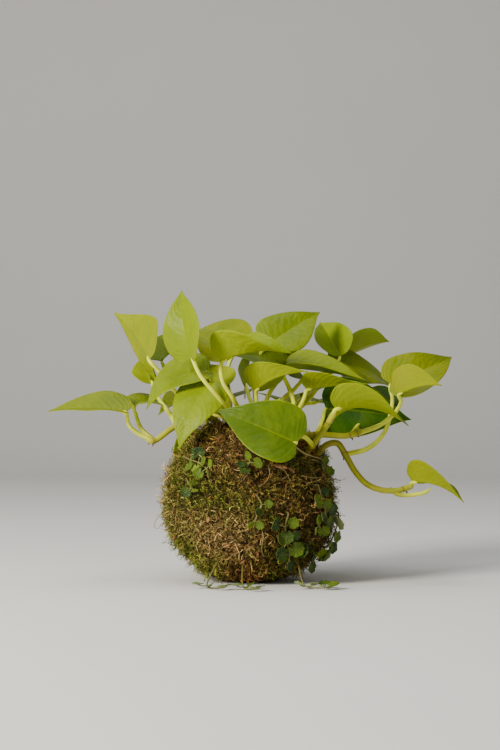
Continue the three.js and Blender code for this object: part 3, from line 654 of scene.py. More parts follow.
def tube(shape, points, radii, finish, tone=(0, 1), sides=10, facing=(0.3, 0.2, 1), scars=0, groove=0):
    """A round-ended tube along points, with a tone for each end and a groove on the side that it faces."""
    points = np.array(points, float)
    radii = np.array(radii, float)
    forward = unit(np.gradient(points, axis=0))
    ends = np.radians(TUBE_ENDS)
    caps = len(ends)
    spots = np.vstack([points[0] - np.outer(radii[0] * np.sin(ends[::-1]), forward[0]), points,
        points[-1] + np.outer(radii[-1] * np.sin(ends), forward[-1])])
    widths = np.concatenate([radii[0] * np.cos(ends[::-1]), radii, radii[-1] * np.cos(ends)])
    scars = np.pad(np.broadcast_to(scars, len(points)), caps, mode="edge")
    groove = np.pad(np.broadcast_to(groove, len(points)), caps, mode="edge")
    forward = np.pad(forward, ((caps, caps), (0, 0)), mode="edge")
    along = lengths_along(spots)
    tones = tone[0] + (tone[1] - tone[0]) * along / along[-1]
    side = np.array(facing, float)
    angles = np.linspace(0, 2 * math.pi, sides + 1)
    off = np.minimum(angles, 2 * math.pi - angles)
    dip = GROOVE_DEPTH * np.exp(-(off / GROOVE_REACH) ** 2)
    wing = WING_HEIGHT * np.exp(-((off - WING_PLACE) / WING_REACH) ** 2)
    places = []
    marks = []
    for i, spot in enumerate(spots):
        side = side - forward[i] * side.dot(forward[i])
        if np.linalg.norm(side) < 1e-6:
            side = np.cross(forward[i], (1, 0, 0))
        side = unit(side)
        across = np.cross(forward[i], side)
        width = widths[i] * (1 + groove[i] * (wing - dip))
        places.append(spot + np.outer(np.cos(angles) * width, side)
            + np.outer(np.sin(angles) * width, across))
        marks.append([[along[i], angle / (2 * math.pi), tones[i], scars[i], 0] for angle in angles])
    faces = grid_faces(len(spots), sides + 1)
    last = (len(spots) - 1) * (sides + 1)
    faces += [tuple(range(sides)), tuple(range(last, last + sides))]
    shape.add(np.vstack(places), faces, finish, np.vstack(marks))


# Vine

def blade_places(leaf, along, across):
    """Places of a blade from its flat ones: along is the share of its length, across runs from -1 to 1."""
    base = np.array(leaf["base"], float)
    axis = np.array(leaf["tip"], float) - base
    length = np.linalg.norm(axis)
    axis = axis / length
    face = np.array(leaf["face"], float)
    up = unit(face - axis * face.dot(axis))
    side = np.cross(axis, up)
    along = np.asarray(along, float)[..., None]
    across = np.asarray(across, float)[..., None]
    inside = np.maximum(along, 0)
    bow = up * leaf["arch"] + side * leaf["bend"]
    run = axis + bow * 4 * (1 - 2 * inside)
    centre = base + length * (axis * inside + bow * 4 * inside * (1 - inside) + run * (along - inside))
    sideways = unit(np.cross(unit(run), up))
    outwards = unit(np.cross(sideways, run))
    roll = math.radians(leaf["twist"]) * (inside - 0.5)
    level = sideways * np.cos(roll) + outwards * np.sin(roll)
    rise = outwards * np.cos(roll) - sideways * np.sin(roll)
    reach = np.sqrt(across ** 2 + CREASE ** 2) - CREASE
    lift = np.radians(leaf["fold"] - leaf["cup"] * np.abs(across))
    half = leaf["width"] / 2
    return centre + level * half * across * np.cos(lift) + rise * half * reach * np.sin(lift)


def blade_normals(leaf, along, across):
    """Directions in which the upper side of a blade faces."""
    step = 0.012
    length = blade_places(leaf, along + step, across) - blade_places(leaf, along - step, across)
    width = blade_places(leaf, along, across + step) - blade_places(leaf, along, across - step)
    return unit(np.cross(width, length))


def add_blade(shape, leaf, sizes, chance):
    """One heart-shaped blade with a soft wave along its edge and a midrib under it."""
    rows = smooth_rows(BLADE_OUTLINE, BLADE_ROWS)
    reaches = np.array([-reach for reach in reversed(BLADE_REACHES[1:])] + BLADE_REACHES)[None, :]
    share = np.linspace(0, 1, BLADE_ROWS + 1)[:, None]
    vein = np.clip(rows[:, :1], 0, 1)
    out = np.maximum(rows[:, 2:], 0)
    vein[0] = out[0] = out[-1] = 0
    along = vein + (rows[:, 1:2] - vein) * np.abs(reaches)
    across = reaches * out
    middle = blade_places(leaf, along, across)
    normal = blade_normals(leaf, along, across)
    beat = np.where(reaches < 0, chance.uniform(*EDGE_WAVES), chance.uniform(*EDGE_WAVES))
    phase = np.where(reaches < 0, chance.uniform(0, 1), chance.uniform(0, 1))
    wave = np.sin(2 * math.pi * (beat * share + phase)) * np.sin(math.pi * share)
    wave = wave * np.abs(across) ** EDGE_WAVE_POWER
    middle = middle + normal * sizes.wave / MM * wave[..., None]
    depth = sizes.thickness / MM / 2 * (1 - EDGE_THINNING * smoothstep(np.abs(reaches), 0.5, 1))
    offset = np.abs(across) * leaf["width"] / 2
    ridge = MIDRIB_HEIGHT * (1 - MIDRIB_TAPER * share) * np.exp(-(offset / MIDRIB_REACH) ** 2)
    upper = middle + normal * depth[..., None]
    lower = middle - normal * (depth + ridge)[..., None]
    columns = reaches.size
    rim = [(row * columns + column, (row + 1) * columns + column)
        for row in range(BLADE_ROWS) for column in (0, columns - 1)]
    surface = np.stack(np.broadcast_arrays(share, 0.5 + 0.5 * reaches), axis=-1)
    shape.add_two_sided(upper, lower, surface, rim, leaf["tone"], leaf["age"])


def add_stalk(shape, leaf):
    """The stalk of a leaf, with the groove and the thin wings that it has below, running into the midrib."""
    under = blade_normals(leaf, STALK_SINK, 0)
    ends = [leaf["base"] - STALK_DROP * under, blade_places(leaf, STALK_SINK, 0) - under]
    points = smooth_path(leaf["stalk"] + ends, 2)
    share = lengths_along(points)
    share = share / share[-1]
    radii = (STALK_FOOT - STALK_TAPER * share) * (1 - 0.5 * smoothstep(share, *STALK_END))
    radii = radii + KNEE_SWELL * np.exp(-((share - KNEE_PLACE) / KNEE_REACH) ** 2)
    tube(shape, points, STALK_RADIUS * radii, 1, STALK_TONES, 14, leaf["face"],
        groove=1 - smoothstep(share, *GROOVE_END))


def add_stem(shape, plan, chance):
    """A vine stem with a joint under each leaf and, on a long one, the buds of roots."""
    points = smooth_path(plan["route"], 1.2)
    along = lengths_along(points)
    joints = [int(np.argmin(np.linalg.norm(points - leaf["stalk"][0], axis=1))) for leaf in plan["leaves"]]
    radii = np.full(len(points), STEM_RADIUS)
    scars = np.zeros(len(points))
    for joint in joints:
        radii += JOINT_SWELL * np.exp(-((along - along[joint]) / JOINT_REACH) ** 2)
        scars = np.maximum(scars, np.exp(-((along - along[joint] + SCAR_GAP) / SCAR_REACH) ** 2))
    radii *= 1 - STEM_TAPER * smoothstep(along, 0, along[-1])
    tube(shape, points, radii, 1, STEM_TONES, 16, scars=scars)
    if along[-1] < ROOTING_LENGTH:
        return
    for joint in joints:
        here = points[min(joint, len(points) - 3)]
        forward = unit(points[min(joint + 1, len(points) - 1)] - points[max(joint - 1, 0)])
        down = unit([0, 0, -1] + forward * forward[2] + chance.uniform(-BUD_SWAY, BUD_SWAY, 3))
        bud = [here + down * depth + forward * ahead for depth, ahead in BUD_STOPS]
        tube(shape, bud, BUD_RADII, 2, sides=8)


def add_shoot(shape, route):
    """The rolled new leaf at the end of the trailing vine."""
    points = smooth_path(route, 1)
    share = lengths_along(points)
    share = share / share[-1]
    radii = STALK_RADIUS * (1 - SHOOT_TAPER * share) * (1 - 0.8 * smoothstep(share, *SHOOT_END))
    tube(shape, points, radii, 1, SHOOT_TONES, 12)


# Creeper and the outline of the ball

def relief(angle, height):
    """Soft lumps of the moss, fading out at the foot and at the rim."""
    fade = smoothstep(height, *RELIEF_FOOT) * (1 - smoothstep(height, *RELIEF_RIM))
    broad, broader, fine, finer = [np.sin(crests * angle + change * height + shift)
        for crests, change, shift in BROAD_WAVES + FINE_WAVES]
    return RELIEF * fade * (BROAD_SHARE * (broad + broader) + FINE_SHARE * fine * finer)


def moss_facing(places):
    """The way that the moss faces at each place of the ball."""
    return unit((places - [0, 0, BALL_HEART]) * [1, 1, BALL_FLATNESS])


def on_moss(angle, height, lift):
    """A place over the moss at an angle in degrees and a height, and the way that the moss faces there."""
    angle = math.radians(angle)
    outline = np.array(BALL_OUTLINE)
    radius = np.interp(height, outline[:, 1], outline[:, 0]) + relief(angle, height)
    place = np.array([radius * math.cos(angle), radius * math.sin(angle), height])
    outward = moss_facing(place)
    return place + outward * lift, outward


def turned_about(vector, axis, degrees):
    """A vector turned about an axis."""
    return np.array(Matrix.Rotation(math.radians(degrees), 3, Vector(axis)) @ Vector(vector))


def add_round_leaf(shape, centre, way, normal, radius, tone, sizes, chance):
    """One round creeper leaf with scallops round its edge and a notch at its stalk."""
    forward = unit(way - normal * way.dot(normal))
    left = np.cross(normal, forward)
    rings = np.array(ROUND_RINGS)[:, None]
    angles = np.linspace(-math.pi, math.pi, ROUND_SIDES + 1)[None, :]
    lobes = chance.choice(ROUND_LOBES)
    edge = ROUND_EDGE + SCALLOP * np.cos(lobes * angles + chance.uniform(-0.5, 0.5))
    edge = edge + chance.uniform(-EDGE_CHANGE, EDGE_CHANGE)
    edge = edge * (1 - NOTCH_DEPTH * np.exp(-((np.abs(angles) - math.pi) / NOTCH_REACH) ** 2))
    ahead = (rings * edge * radius * np.cos(angles))[..., None] * forward
    aside = (rings * edge * radius * np.sin(angles))[..., None] * left
    rise = rings ** 2 * (sizes.cup + SADDLE * np.cos(2 * angles + chance.uniform(0, 6)))
    rise = radius * (rise + PUCKER * rings ** 3 * np.cos(lobes * angles))
    middle = centre + ahead + aside + rise[..., None] * normal
    depth = (sizes.thickness / MM / 2 * (1 - ROUND_THINNING * rings))[..., None] * normal
    last = (len(ROUND_RINGS) - 1) * (ROUND_SIDES + 1)
    rim = [(last + column, last + column + 1) for column in range(ROUND_SIDES)]
    surface = np.stack(np.broadcast_arrays(angles / (2 * math.pi) + 0.5, rings), axis=-1)
    shape.add_two_sided(middle + depth, middle - depth, surface, rim, tone)


def sprig_shape(plan, sizes, chance):
    """A sprig of creeper: its runner over the moss or the floor and its leaves by turns to either side."""
    shape = Shape()
    start, outward = on_moss(*plan["root"], CREEPER_LIFT)
    stops = [on_moss(angle, height, CREEPER_LIFT) for angle, height in plan["over"]]
    stops += [(np.array([x, y, FLOOR_LIFT], float), np.array([0, 0, 1.0])) for x, y in plan["floor"]]
    route = [start - outward * CREEPER_ROOT, start] + [stop for stop, facing in stops]
    points = smooth_path(route, 1)
    share = lengths_along(points)
    radii = RUNNER_RADIUS * (RUNNER_START - RUNNER_TAPER * share / share[-1])
    tube(shape, points, radii, 1, RUNNER_TONES, 8)
    turn = 0
    for (stop, facing), before, leaves in zip(stops, route[1:], plan["leaves"]):
        forward = unit(stop - before - facing * (stop - before).dot(facing))
        for i in range(leaves):
            spread = (i - (leaves - 1) / 2) * FAN_STEP + FAN_SWAY * math.sin(CREEPER_SWAY_BEAT * turn)
            way = turned_about(forward, facing, spread)
            size = plan["size"] * (1 + CREEPER_SIZE_SWAY * math.sin(CREEPER_SIZE_BEAT * turn + 1))
            shown_size = size * chance.uniform(*CREEPER_SIZES)
            reach = size * CREEPER_SPREAD
            roll = chance.uniform(-1, 1)
            over_moss = facing[2] < 0.99
            if over_moss:
                roll = CREEPER_STRONG_ROLL * roll ** 3 + CREEPER_SLIGHT_ROLL * roll
            normal = turned_about(unit(facing - way * CREEPER_TILT), way, CREEPER_ROLL * roll)
            normal = turned_about(normal, np.cross(facing, way), chance.uniform(*CREEPER_NOD))
            centre = stop + way * reach + facing * CREEPER_TILT * reach
            tone = chance.choice(CREEPER_TONES) + chance.uniform(-0.05, 0.05)
            add_round_leaf(shape, centre, way, normal, shown_size, tone, sizes, chance)
            bow = (stop + centre) / 2 - normal * TENDRIL_BOW[0] - facing * TENDRIL_BOW[1]
            stalk = smooth_path([stop, bow, centre - normal * TENDRIL_SINK], 1)
            tube(shape, stalk, np.linspace(*TENDRIL_RADII, len(stalk)), 1, TENDRIL_TONES, 7)
            turn += 1
    return shape


# Moss and soil

def turned_shape(profile, sides):
    """A grid of places turned about the upright axis from a profile of radii and heights."""
    angles = np.linspace(-math.pi, math.pi, sides + 1)
    radii, heights = np.array(profile, float).T[..., None]
    return np.stack(np.broadcast_arrays(radii * np.cos(angles), radii * np.sin(angles), heights), axis=-1)


def lumps(places, size, seed):
    """Cloudy noise at each place, between about -1 and 1, with lumps of that size."""
    shift = Vector((seed * 17.3, seed * 5.1, seed * 9.7))
    return np.array([noise.fractal(Vector(place) / size + shift, 0.9, 2.1, 3) for place in places])


def lump_heights(places, kinds):
    """The height at each place of several kinds of lumps together."""
    return sum(height * lumps(places, size, seed) for height, size, seed in kinds)


def patch_colours(places, settings):
    """The colour of the moss at each place and how dry it is there."""
    weights = {kind: level + change * lumps(places, size, seed)
        for kind, level, change, size, seed in MOSS_KINDS}
    sway = [lumps(places, PATCH_SWAY_SIZE, seed) for seed in (8, 9, 10)]
    warped = places + PATCH_SWAY * np.column_stack(sway)
    for angle, height, reach, kind, strength in MOSS_PATCHES:
        distance = np.linalg.norm(warped - on_moss(angle, height, 0)[0], axis=1)
        weights[kind] = weights[kind] + strength * np.exp(-(distance / reach) ** 2)
    weights = {kind: np.maximum(weight, 0) ** PATCH_CONTRAST for kind, weight in weights.items()}
    total = sum(weights.values()) + 1e-6
    colour = sum(weight[:, None] * np.array(getattr(settings, kind)) for kind, weight in weights.items())
    bright = np.clip(1 + lump_heights(places, [MOSS_SHADING]), *SHADE_RANGE)
    dry = sum(share * weights[kind] for kind, share in DRYNESS.items()) / total
    return colour / total[:, None] * bright[:, None], dry


def marked_mesh(name, places, faces, numbers, colours=None):
    """A mesh with named numbers and colours on its places, which are given in millimetres."""
    mesh = bpy.data.meshes.new(name)
    mesh.from_pydata((places * MM).tolist(), [], faces)
    for label, values in numbers.items():
        mesh.attributes.new(label, "FLOAT", "POINT").data.foreach_set("value", values)
    for label, values in (colours or {}).items():
        four = np.column_stack([values, np.ones(len(values))])
        mesh.attributes.new(label, "FLOAT_COLOR", "POINT").data.foreach_set("color", four.ravel())
    return mesh


def moss_bed(settings):
    """The lumpy bed of moss, closed round its open crown, with its colours and where it grows."""
    outer = smooth_rows(BALL_OUTLINE, BALL_ROWS)
    grid = turned_shape(np.vstack([BALL_FOOT, outer, BALL_RIM, BALL_HOLLOW]), BALL_SIDES)
    places = grid.reshape(-1, 3)
    height = places[:, 2]
    row = np.repeat(np.arange(len(grid)), grid.shape[1])
    first = len(BALL_FOOT)
    skin = (row >= first) & (row < first + len(outer) + 2)
    fade = smoothstep(height, *BED_FADE)
    swell = relief(np.arctan2(places[:, 1], places[:, 0]), height) - BED_DEPTH
    swell = swell + lump_heights(places, BED_LUMPS) * fade
    swell = np.where(skin, swell * np.where(row < first + len(outer) - 1, fade, RIM_LIFT), 0)
    growth = np.where(skin, smoothstep(height, *GROWTH_START), 0)
    colour, dry = patch_colours(places, settings)
    bed = places + moss_facing(places) * swell[:, None]
    bed[:, 2] = np.maximum(bed[:, 2], 0)
    return weld(marked_mesh("moss_bed", bed, grid_faces(*grid.shape[:2]),
        {"growth": growth, "dry": dry * growth}, {"moss_colour": colour}))


def curled_path(length, curl, sway, pieces):
    """Points of a curl that leaves the origin upwards, its headings there and the shares of its length."""
    share = np.linspace(0, 1, pieces + 1)
    level = np.zeros(len(share))
    heading = np.column_stack([np.sin(curl * share), level, np.cos(curl * share)])
    steps = heading + np.column_stack([level, sway * np.sin(math.pi * share), level])
    return np.vstack([[0, 0, 0], np.cumsum(steps[:-1] * length / pieces, axis=0)]), heading, share


def ribbon(points, width):
    """Places and faces of a flat ribbon along points, tapered to its end."""
    half = np.linspace(1, FIBRE_TAPER, len(points))[:, None] * [0, width / 2, 0]
    places = np.stack([points + half, points - half], axis=1).reshape(-1, 3)
    return list(places), [(2 * i, 2 * i + 1, 2 * i + 3, 2 * i + 2) for i in range(len(points) - 1)]


def fibre_mesh(chance, length, curls, sway, pieces, width, leaflets):
    """A moss fibre that leaves the origin upwards and curls over, with leaflets along a shoot."""
    points, headings, share = curled_path(length, chance.uniform(*curls), chance.uniform(-sway, sway), pieces)
    places, faces = ribbon(points, width * length)
    reaches = list(np.repeat(share, 2))
    for i in range(leaflets):
        t = (i + 0.5) / leaflets
        base, ahead = [np.array([np.interp(t, share, column) for column in rows.T])
            for rows in (points, headings)]
        turn = (i % 2) * math.pi + chance.uniform(-LEAFLET_TURN, LEAFLET_TURN)
        out = np.array([math.sin(turn) * ahead[2], math.cos(turn), -math.sin(turn) * ahead[0]])
        reach = length * (LEAFLET_LENGTH - LEAFLET_TAPER * t) * chance.uniform(0.8, 1.2)
        corner = len(places)
        places += [base, base + ahead * length * LEAFLET_WIDTH]
        places.append(base + unit(out + LEAFLET_LEAN * ahead) * reach)
        reaches += [t, t, min(t + LEAFLET_REACH, 1)]
        faces.append((corner, corner + 1, corner + 2))
    return weld(marked_mesh("moss_fibre", np.array(places) / MM, faces, {"reach": reaches}))


def crumb_mesh(chance, size):
    """A small rough crumb round the origin."""
    work = bmesh.new()
    bmesh.ops.create_icosphere(work, subdivisions=1, radius=size / 2)
    for vert in work.verts:
        vert.co *= chance.uniform(*CRUMB_SIZES)
        vert.co.z *= CRUMB_FLATNESS
    mesh = bpy.data.meshes.new("crumb")
    work.to_mesh(mesh)
    work.free()
    return mesh


# Node trees

def node(tree, kind, inputs=None, **settings):
    """A node with its settings, and its inputs linked or given a value."""
    made = tree.nodes.new(kind)
    for label, value in settings.items():
        setattr(made, label, value)
    for label, value in (inputs or {}).items():
        socket = made.inputs[label]
        if isinstance(value, bpy.types.NodeSocket):
            tree.links.new(value, socket)
        else:
            socket.default_value = value
    return made


def maths(tree, operation, first, second=0.0, third=0.0):
    """The result of a Math node."""
    return node(tree, "ShaderNodeMath", {0: first, 1: second, 2: third}, operation=operation).outputs[0]


def times(tree, first, second, extra=0.0):
    """The product of two values with an extra value added."""
    return maths(tree, "MULTIPLY_ADD", first, second, extra)


def mix(tree, share, first, second, blend="MIX"):
    """A mix of two colours."""
    first = first if isinstance(first, bpy.types.NodeSocket) else (*first, 1)[:4]
    second = second if isinstance(second, bpy.types.NodeSocket) else (*second, 1)[:4]
    made = node(tree, "ShaderNodeMix", {0: share, 6: first, 7: second}, data_type="RGBA", blend_type=blend)
    return made.outputs[2]


def ramp(tree, value, low, high, to_low=0.0, to_high=1.0, smooth=True):
    """A value carried from one range to another and held inside it."""
    made = node(tree, "ShaderNodeMapRange", {"Value": value, "From Min": low, "From Max": high,
        "To Min": to_low, "To Max": to_high}, interpolation_type="SMOOTHSTEP" if smooth else "LINEAR")
    return made.outputs["Result"]


def random_number(tree, low, high, seed, step):
    """A random number from low to high at each point, drawn apart from others by the step in its seed."""
    return node(tree, "FunctionNodeRandomValue", {2: low, 3: high, "Seed": maths(tree, "ADD", seed, step)},
        data_type="FLOAT").outputs[1]


def added(tree, first, second):
    """The sum of two vectors."""
    return node(tree, "ShaderNodeVectorMath", {0: first, 1: second}, operation="ADD").outputs[0]


def new_group(kind, name, inputs, outputs):
    """A node group with inputs of the kinds or starting values given, and the sockets inside it."""
    tree = bpy.data.node_groups.new(name, kind)
    for label, what in inputs.items():
        number = isinstance(what, float)
        socket = tree.interface.new_socket(label, in_out="INPUT",
            socket_type="NodeSocketFloat" if number else f"NodeSocket{what}")
        if number:
            socket.default_value = what
    for label, what in outputs.items():
        tree.interface.new_socket(label, in_out="OUTPUT", socket_type=f"NodeSocket{what}")
    return tree, tree.nodes.new("NodeGroupInput").outputs


def scatter_tree():
    """The tree that grows copies of small shapes on a surface, leaning out and down."""
    tree, given = new_group("GeometryNodeTree", "growth on a surface", {"Geometry": "Geometry",
        "Shapes": "Collection", "Where": "String", "Density": 0.0, "Spread": 0.0, "Droop": 0.0,
        "Smallest": 0.0, "Largest": 0.0, "Tufts": 0.0, "Seed": "Int", "Finish": "Material"},
        {"Geometry": "Geometry"})
    tree.is_modifier = True
    seed = given["Seed"]
    where = node(tree, "GeometryNodeInputNamedAttribute", {"Name": given["Where"]}, data_type="FLOAT")
    points = node(tree, "GeometryNodeDistributePointsOnFaces", {"Mesh": given["Geometry"],
        "Density": times(tree, where.outputs["Attribute"], given["Density"]), "Seed": seed},
        distribute_method="RANDOM")
    wild = node(tree, "FunctionNodeRandomValue", {0: (-1, -1, -1), 1: (1, 1, 1), "Seed": seed},
        data_type="FLOAT_VECTOR")
    lean = node(tree, "ShaderNodeVectorMath", {0: wild.outputs[0], "Scale": given["Spread"]},
        operation="SCALE")
    down = node(tree, "ShaderNodeCombineXYZ", {2: times(tree, given["Droop"], -1.0)})
    away = added(tree, added(tree, points.outputs["Normal"], lean.outputs[0]), down.outputs[0])
    upright = node(tree, "FunctionNodeAlignRotationToVector", {"Vector": away}, axis="Z")
    about = node(tree, "ShaderNodeCombineXYZ", {2: random_number(tree, 0.0, 2 * math.pi, seed, 7)})
    about = node(tree, "FunctionNodeEulerToRotation", {0: about.outputs[0]})
    turned = node(tree, "FunctionNodeRotateRotation", {"Rotation": upright.outputs[0],
        "Rotate By": about.outputs[0]}, rotation_space="LOCAL")
    tufts = node(tree, "ShaderNodeTexNoise", {"Scale": given["Tufts"], "Detail": 2.0})
    size = random_number(tree, given["Smallest"], given["Largest"], seed, 13)
    size = times(tree, size, ramp(tree, tufts.outputs[0], 0.3, 0.7, 0.6, 1.4))
    tinted = node(tree, "GeometryNodeStoreNamedAttribute", {"Geometry": points.outputs["Points"],
        "Name": "tint", "Value": random_number(tree, 0.0, 1.0, seed, 19)}, data_type="FLOAT", domain="POINT")
    shapes = node(tree, "GeometryNodeCollectionInfo", {"Collection": given["Shapes"],
        "Separate Children": True, "Reset Children": True})
    placed = node(tree, "GeometryNodeInstanceOnPoints", {"Points": tinted.outputs["Geometry"],
        "Instance": shapes.outputs[0], "Pick Instance": True, "Rotation": turned.outputs[0], "Scale": size})
    real = node(tree, "GeometryNodeRealizeInstances", {0: placed.outputs[0]})
    finished = node(tree, "GeometryNodeSetMaterial", {"Geometry": real.outputs[0],
        "Material": given["Finish"]})
    node(tree, "NodeGroupOutput", {0: finished.outputs[0]})


def grown(name, carrier, shapes, values):
    """A plain mesh object of many copies of the shapes, grown on a carrier mesh."""
    helpers = bpy.data.collections.new("shapes")
    for shape in shapes:
        helpers.objects.link(bpy.data.objects.new(shape.name, shape))
    values = {**values, "Shapes": helpers}
    tree = shared("growth on a surface")
    made = shown(name, carrier.copy())
    modifier = made.modifiers.new("growth", "NODES")
    modifier.node_group = tree
    for item in tree.interface.items_tree:
        if item.in_out == "INPUT" and item.name in values:
            modifier[item.identifier] = values[item.name]
    depsgraph = bpy.context.evaluated_depsgraph_get()
    depsgraph.update()
    mesh = bpy.data.meshes.new_from_object(made.evaluated_get(depsgraph), preserve_all_data_layers=True,
        depsgraph=depsgraph)
    if not mesh.polygons:
        raise RuntimeError(f"nothing grew for {name}")
    mesh.name = name
    made.modifiers.remove(modifier)
    made.data = mesh
    for helper in list(helpers.objects):
        bpy.data.objects.remove(helper)
    bpy.data.collections.remove(helpers)
    return made


def above_floor(piece, height=0.0002):
    """Lifts what reaches under the floor onto it."""
    places = np.zeros(len(piece.data.vertices) * 3)
    piece.data.vertices.foreach_get("co", places)
    places = places.reshape(-1, 3)
    places[:, 2] = np.maximum(places[:, 2], height)
    piece.data.vertices.foreach_set("co", places.ravel())


# Finishes

def mottle_group():
    """Cloudy variation over a surface, as a share from 0 to 1."""
    tree, given = new_group("ShaderNodeTree", "mottle", {"Place": "Vector", "Scale": 60.0, "Detail": 4.0,
        "Low": 0.3, "High": 0.7}, {"Share": "Float"})
    cloud = node(tree, "ShaderNodeTexNoise", {"Vector": given["Place"], "Scale": given["Scale"],
        "Detail": given["Detail"], "Roughness": 0.6})
    node(tree, "NodeGroupOutput", {"Share": ramp(tree, cloud.outputs[0], given["Low"], given["High"])})


def side_vein_group():
    """The side veins, midrib and edge of a heart-shaped blade, from its surface map."""
    tree, given = new_group("ShaderNodeTree", "side veins",
        {"Surface": "Vector", "Veins": 9.0, "Width": 0.09},
        dict.fromkeys(("Vein", "Midrib", "Rim", "Edge", "Relief"), "Float"))
    along, across = node(tree, "ShaderNodeSeparateXYZ", {0: given["Surface"]}).outputs[:2]
    hand = maths(tree, "SUBTRACT", across, 0.5)
    out = times(tree, maths(tree, "ABSOLUTE", hand), 2.0)
    slant = times(tree, maths(tree, "POWER", out, 3.0), 0.1, times(tree, out, 0.13))
    place = times(tree, maths(tree, "SUBTRACT", along, slant), given["Veins"])
    place = times(tree, maths(tree, "SIGN", hand), 0.23, place)
    share = maths(tree, "PINGPONG", place, 0.5)
    vein = ramp(tree, share, 0.0, given["Width"], 1.0, 0.0)
    minor = maths(tree, "PINGPONG", times(tree, place, 3.0), 0.5)
    minor = ramp(tree, minor, 0.0, 0.16, 0.35, 0.0)
    midrib = ramp(tree, maths(tree, "ADD", out, times(tree, along, 0.028, -0.034)), 0.0, 0.02, 1.0, 0.0)
    puff = maths(tree, "SUBTRACT", ramp(tree, share, 0.0, 0.5), times(tree, midrib, 1.2))
    node(tree, "NodeGroupOutput", {"Vein": maths(tree, "MAXIMUM", vein, minor), "Midrib": midrib,
        "Rim": ramp(tree, out, 0.35, 1.0), "Edge": ramp(tree, out, 0.965, 0.99), "Relief": puff})


def ray_vein_group():
    """Veins that run out from the middle of a round leaf, from its surface map."""
    tree, given = new_group("ShaderNodeTree", "ray veins", {"Surface": "Vector", "Veins": 9.0},
        {"Vein": "Float", "Relief": "Float"})
    turn, out = node(tree, "ShaderNodeSeparateXYZ", {0: given["Surface"]}).outputs[:2]
    share = maths(tree, "PINGPONG", times(tree, turn, given["Veins"]), 0.5)
    wide = maths(tree, "DIVIDE", 0.035, maths(tree, "MAXIMUM", out, 0.1))
    node(tree, "NodeGroupOutput", {"Relief": ramp(tree, share, 0.0, 0.5),
        "Vein": ramp(tree, maths(tree, "DIVIDE", share, wide), 0.4, 1.3, 1.0, 0.0)})


def new_finish(name):
    """A material and its emptied tree."""
    made = bpy.data.materials.new(name)
    made.use_nodes = True
    made.node_tree.nodes.clear()
    return made, made.node_tree


def use_group(tree, name, inputs):
    """The outputs of a shared shader node group placed in a tree."""
    return node(tree, "ShaderNodeGroup", inputs, node_tree=shared(name)).outputs


def attribute(tree, name, output="Fac"):
    """A named attribute of the mesh."""
    return node(tree, "ShaderNodeAttribute", attribute_name=name, attribute_type="GEOMETRY").outputs[output]


def dress(made, colour, roughness, bumps=(), specular=0.5, scatter=None):
    """Gives a material its shader. bumps lists the strength, depth and height of each bump, and scatter the
    weight, colour and reach of the light that enters the surface."""
    tree = made.node_tree
    inputs = {"Base Color": colour, "Roughness": roughness, "Specular IOR Level": specular}
    for strength, depth, height in bumps:
        bump = {"Strength": strength, "Distance": depth, "Height": height}
        if "Normal" in inputs:
            bump["Normal"] = inputs["Normal"]
        inputs["Normal"] = node(tree, "ShaderNodeBump", bump).outputs[0]
    if scatter:
        inputs.update(zip(("Subsurface Weight", "Subsurface Radius", "Subsurface Scale"), scatter))
    shader = node(tree, "ShaderNodeBsdfPrincipled", inputs)
    node(tree, "ShaderNodeOutputMaterial", {"Surface": shader.outputs[0]})
    return made


def mottle(tree, scale, **changes):
    """Cloudy variation over the piece, as a share from 0 to 1."""
    place = node(tree, "ShaderNodeTexCoord").outputs["Object"]
    return use_group(tree, "mottle", {"Place": place, "Scale": scale, **changes})["Share"]


def surface_map(tree):
    """The (u, v) of a piece."""
    return node(tree, "ShaderNodeUVMap", uv_map="surface").outputs[0]


def underside(tree):
    """1 on the underside of a leaf and 0 on its upper side."""
    return ramp(tree, attribute(tree, "under"), 0.3, 0.7)


def blade_finish(settings):
    """Waxy green over a paler, duller underside, with veins."""
    made, tree = new_finish("vine blade")
    under = underside(tree)
    cloud = mottle(tree, 45.0)
    fine = mottle(tree, 900.0, Detail=2.0)
    along, across = node(tree, "ShaderNodeSeparateXYZ", {0: surface_map(tree)}).outputs[:2]
    swayed = node(tree, "ShaderNodeCombineXYZ", {0: times(tree, cloud, 0.07, along), 1: across}).outputs[0]
    veins = use_group(tree, "side veins", {"Surface": swayed, "Veins": float(settings.veins)})
    # The per-blade tone is partly the blade's own green and partly painted light and shade, set for how each
    # blade lies in the light.
    shade = times(tree, cloud, 0.24, maths(tree, "SUBTRACT", attribute(tree, "tone"), 0.12))
    shade = times(tree, veins["Vein"], 0.05, times(tree, fine, 0.05, shade))
    upper = mix(tree, ramp(tree, shade, 0.0, 0.5, smooth=False), settings.deep, settings.middle)
    upper = mix(tree, ramp(tree, shade, 0.5, 1.0, smooth=False), upper, settings.bright)
    old = times(tree, attribute(tree, "age"), times(tree, veins["Rim"], 0.5, 0.5))
    old = times(tree, old, times(tree, cloud, 0.6, 0.4))
    upper = mix(tree, times(tree, old, 0.85), upper, settings.ripe)
    upper = mix(tree, times(tree, veins["Midrib"], 0.3), upper, settings.pale)
    back = mix(tree, times(tree, old, 0.6), settings.pale, settings.ripe)
    back = mix(tree, times(tree, veins["Vein"], 0.25), back, upper)
    back = mix(tree, times(tree, shade, -0.55, 0.55), back, upper)
    edge = times(tree, veins["Edge"], 0.6)
    colour = mix(tree, edge, mix(tree, under, upper, back), settings.pale)
    rough = times(tree, under, 0.2, times(tree, cloud, 0.1, 0.4))
    bumps = [(0.36, 0.00036, veins["Relief"]), (0.5, 0.0012, cloud), (0.15, 0.0001, fine)]
    return dress(made, colour, rough, bumps, 0.15, (0.22, (0.6, 1.0, 0.05), 0.003))


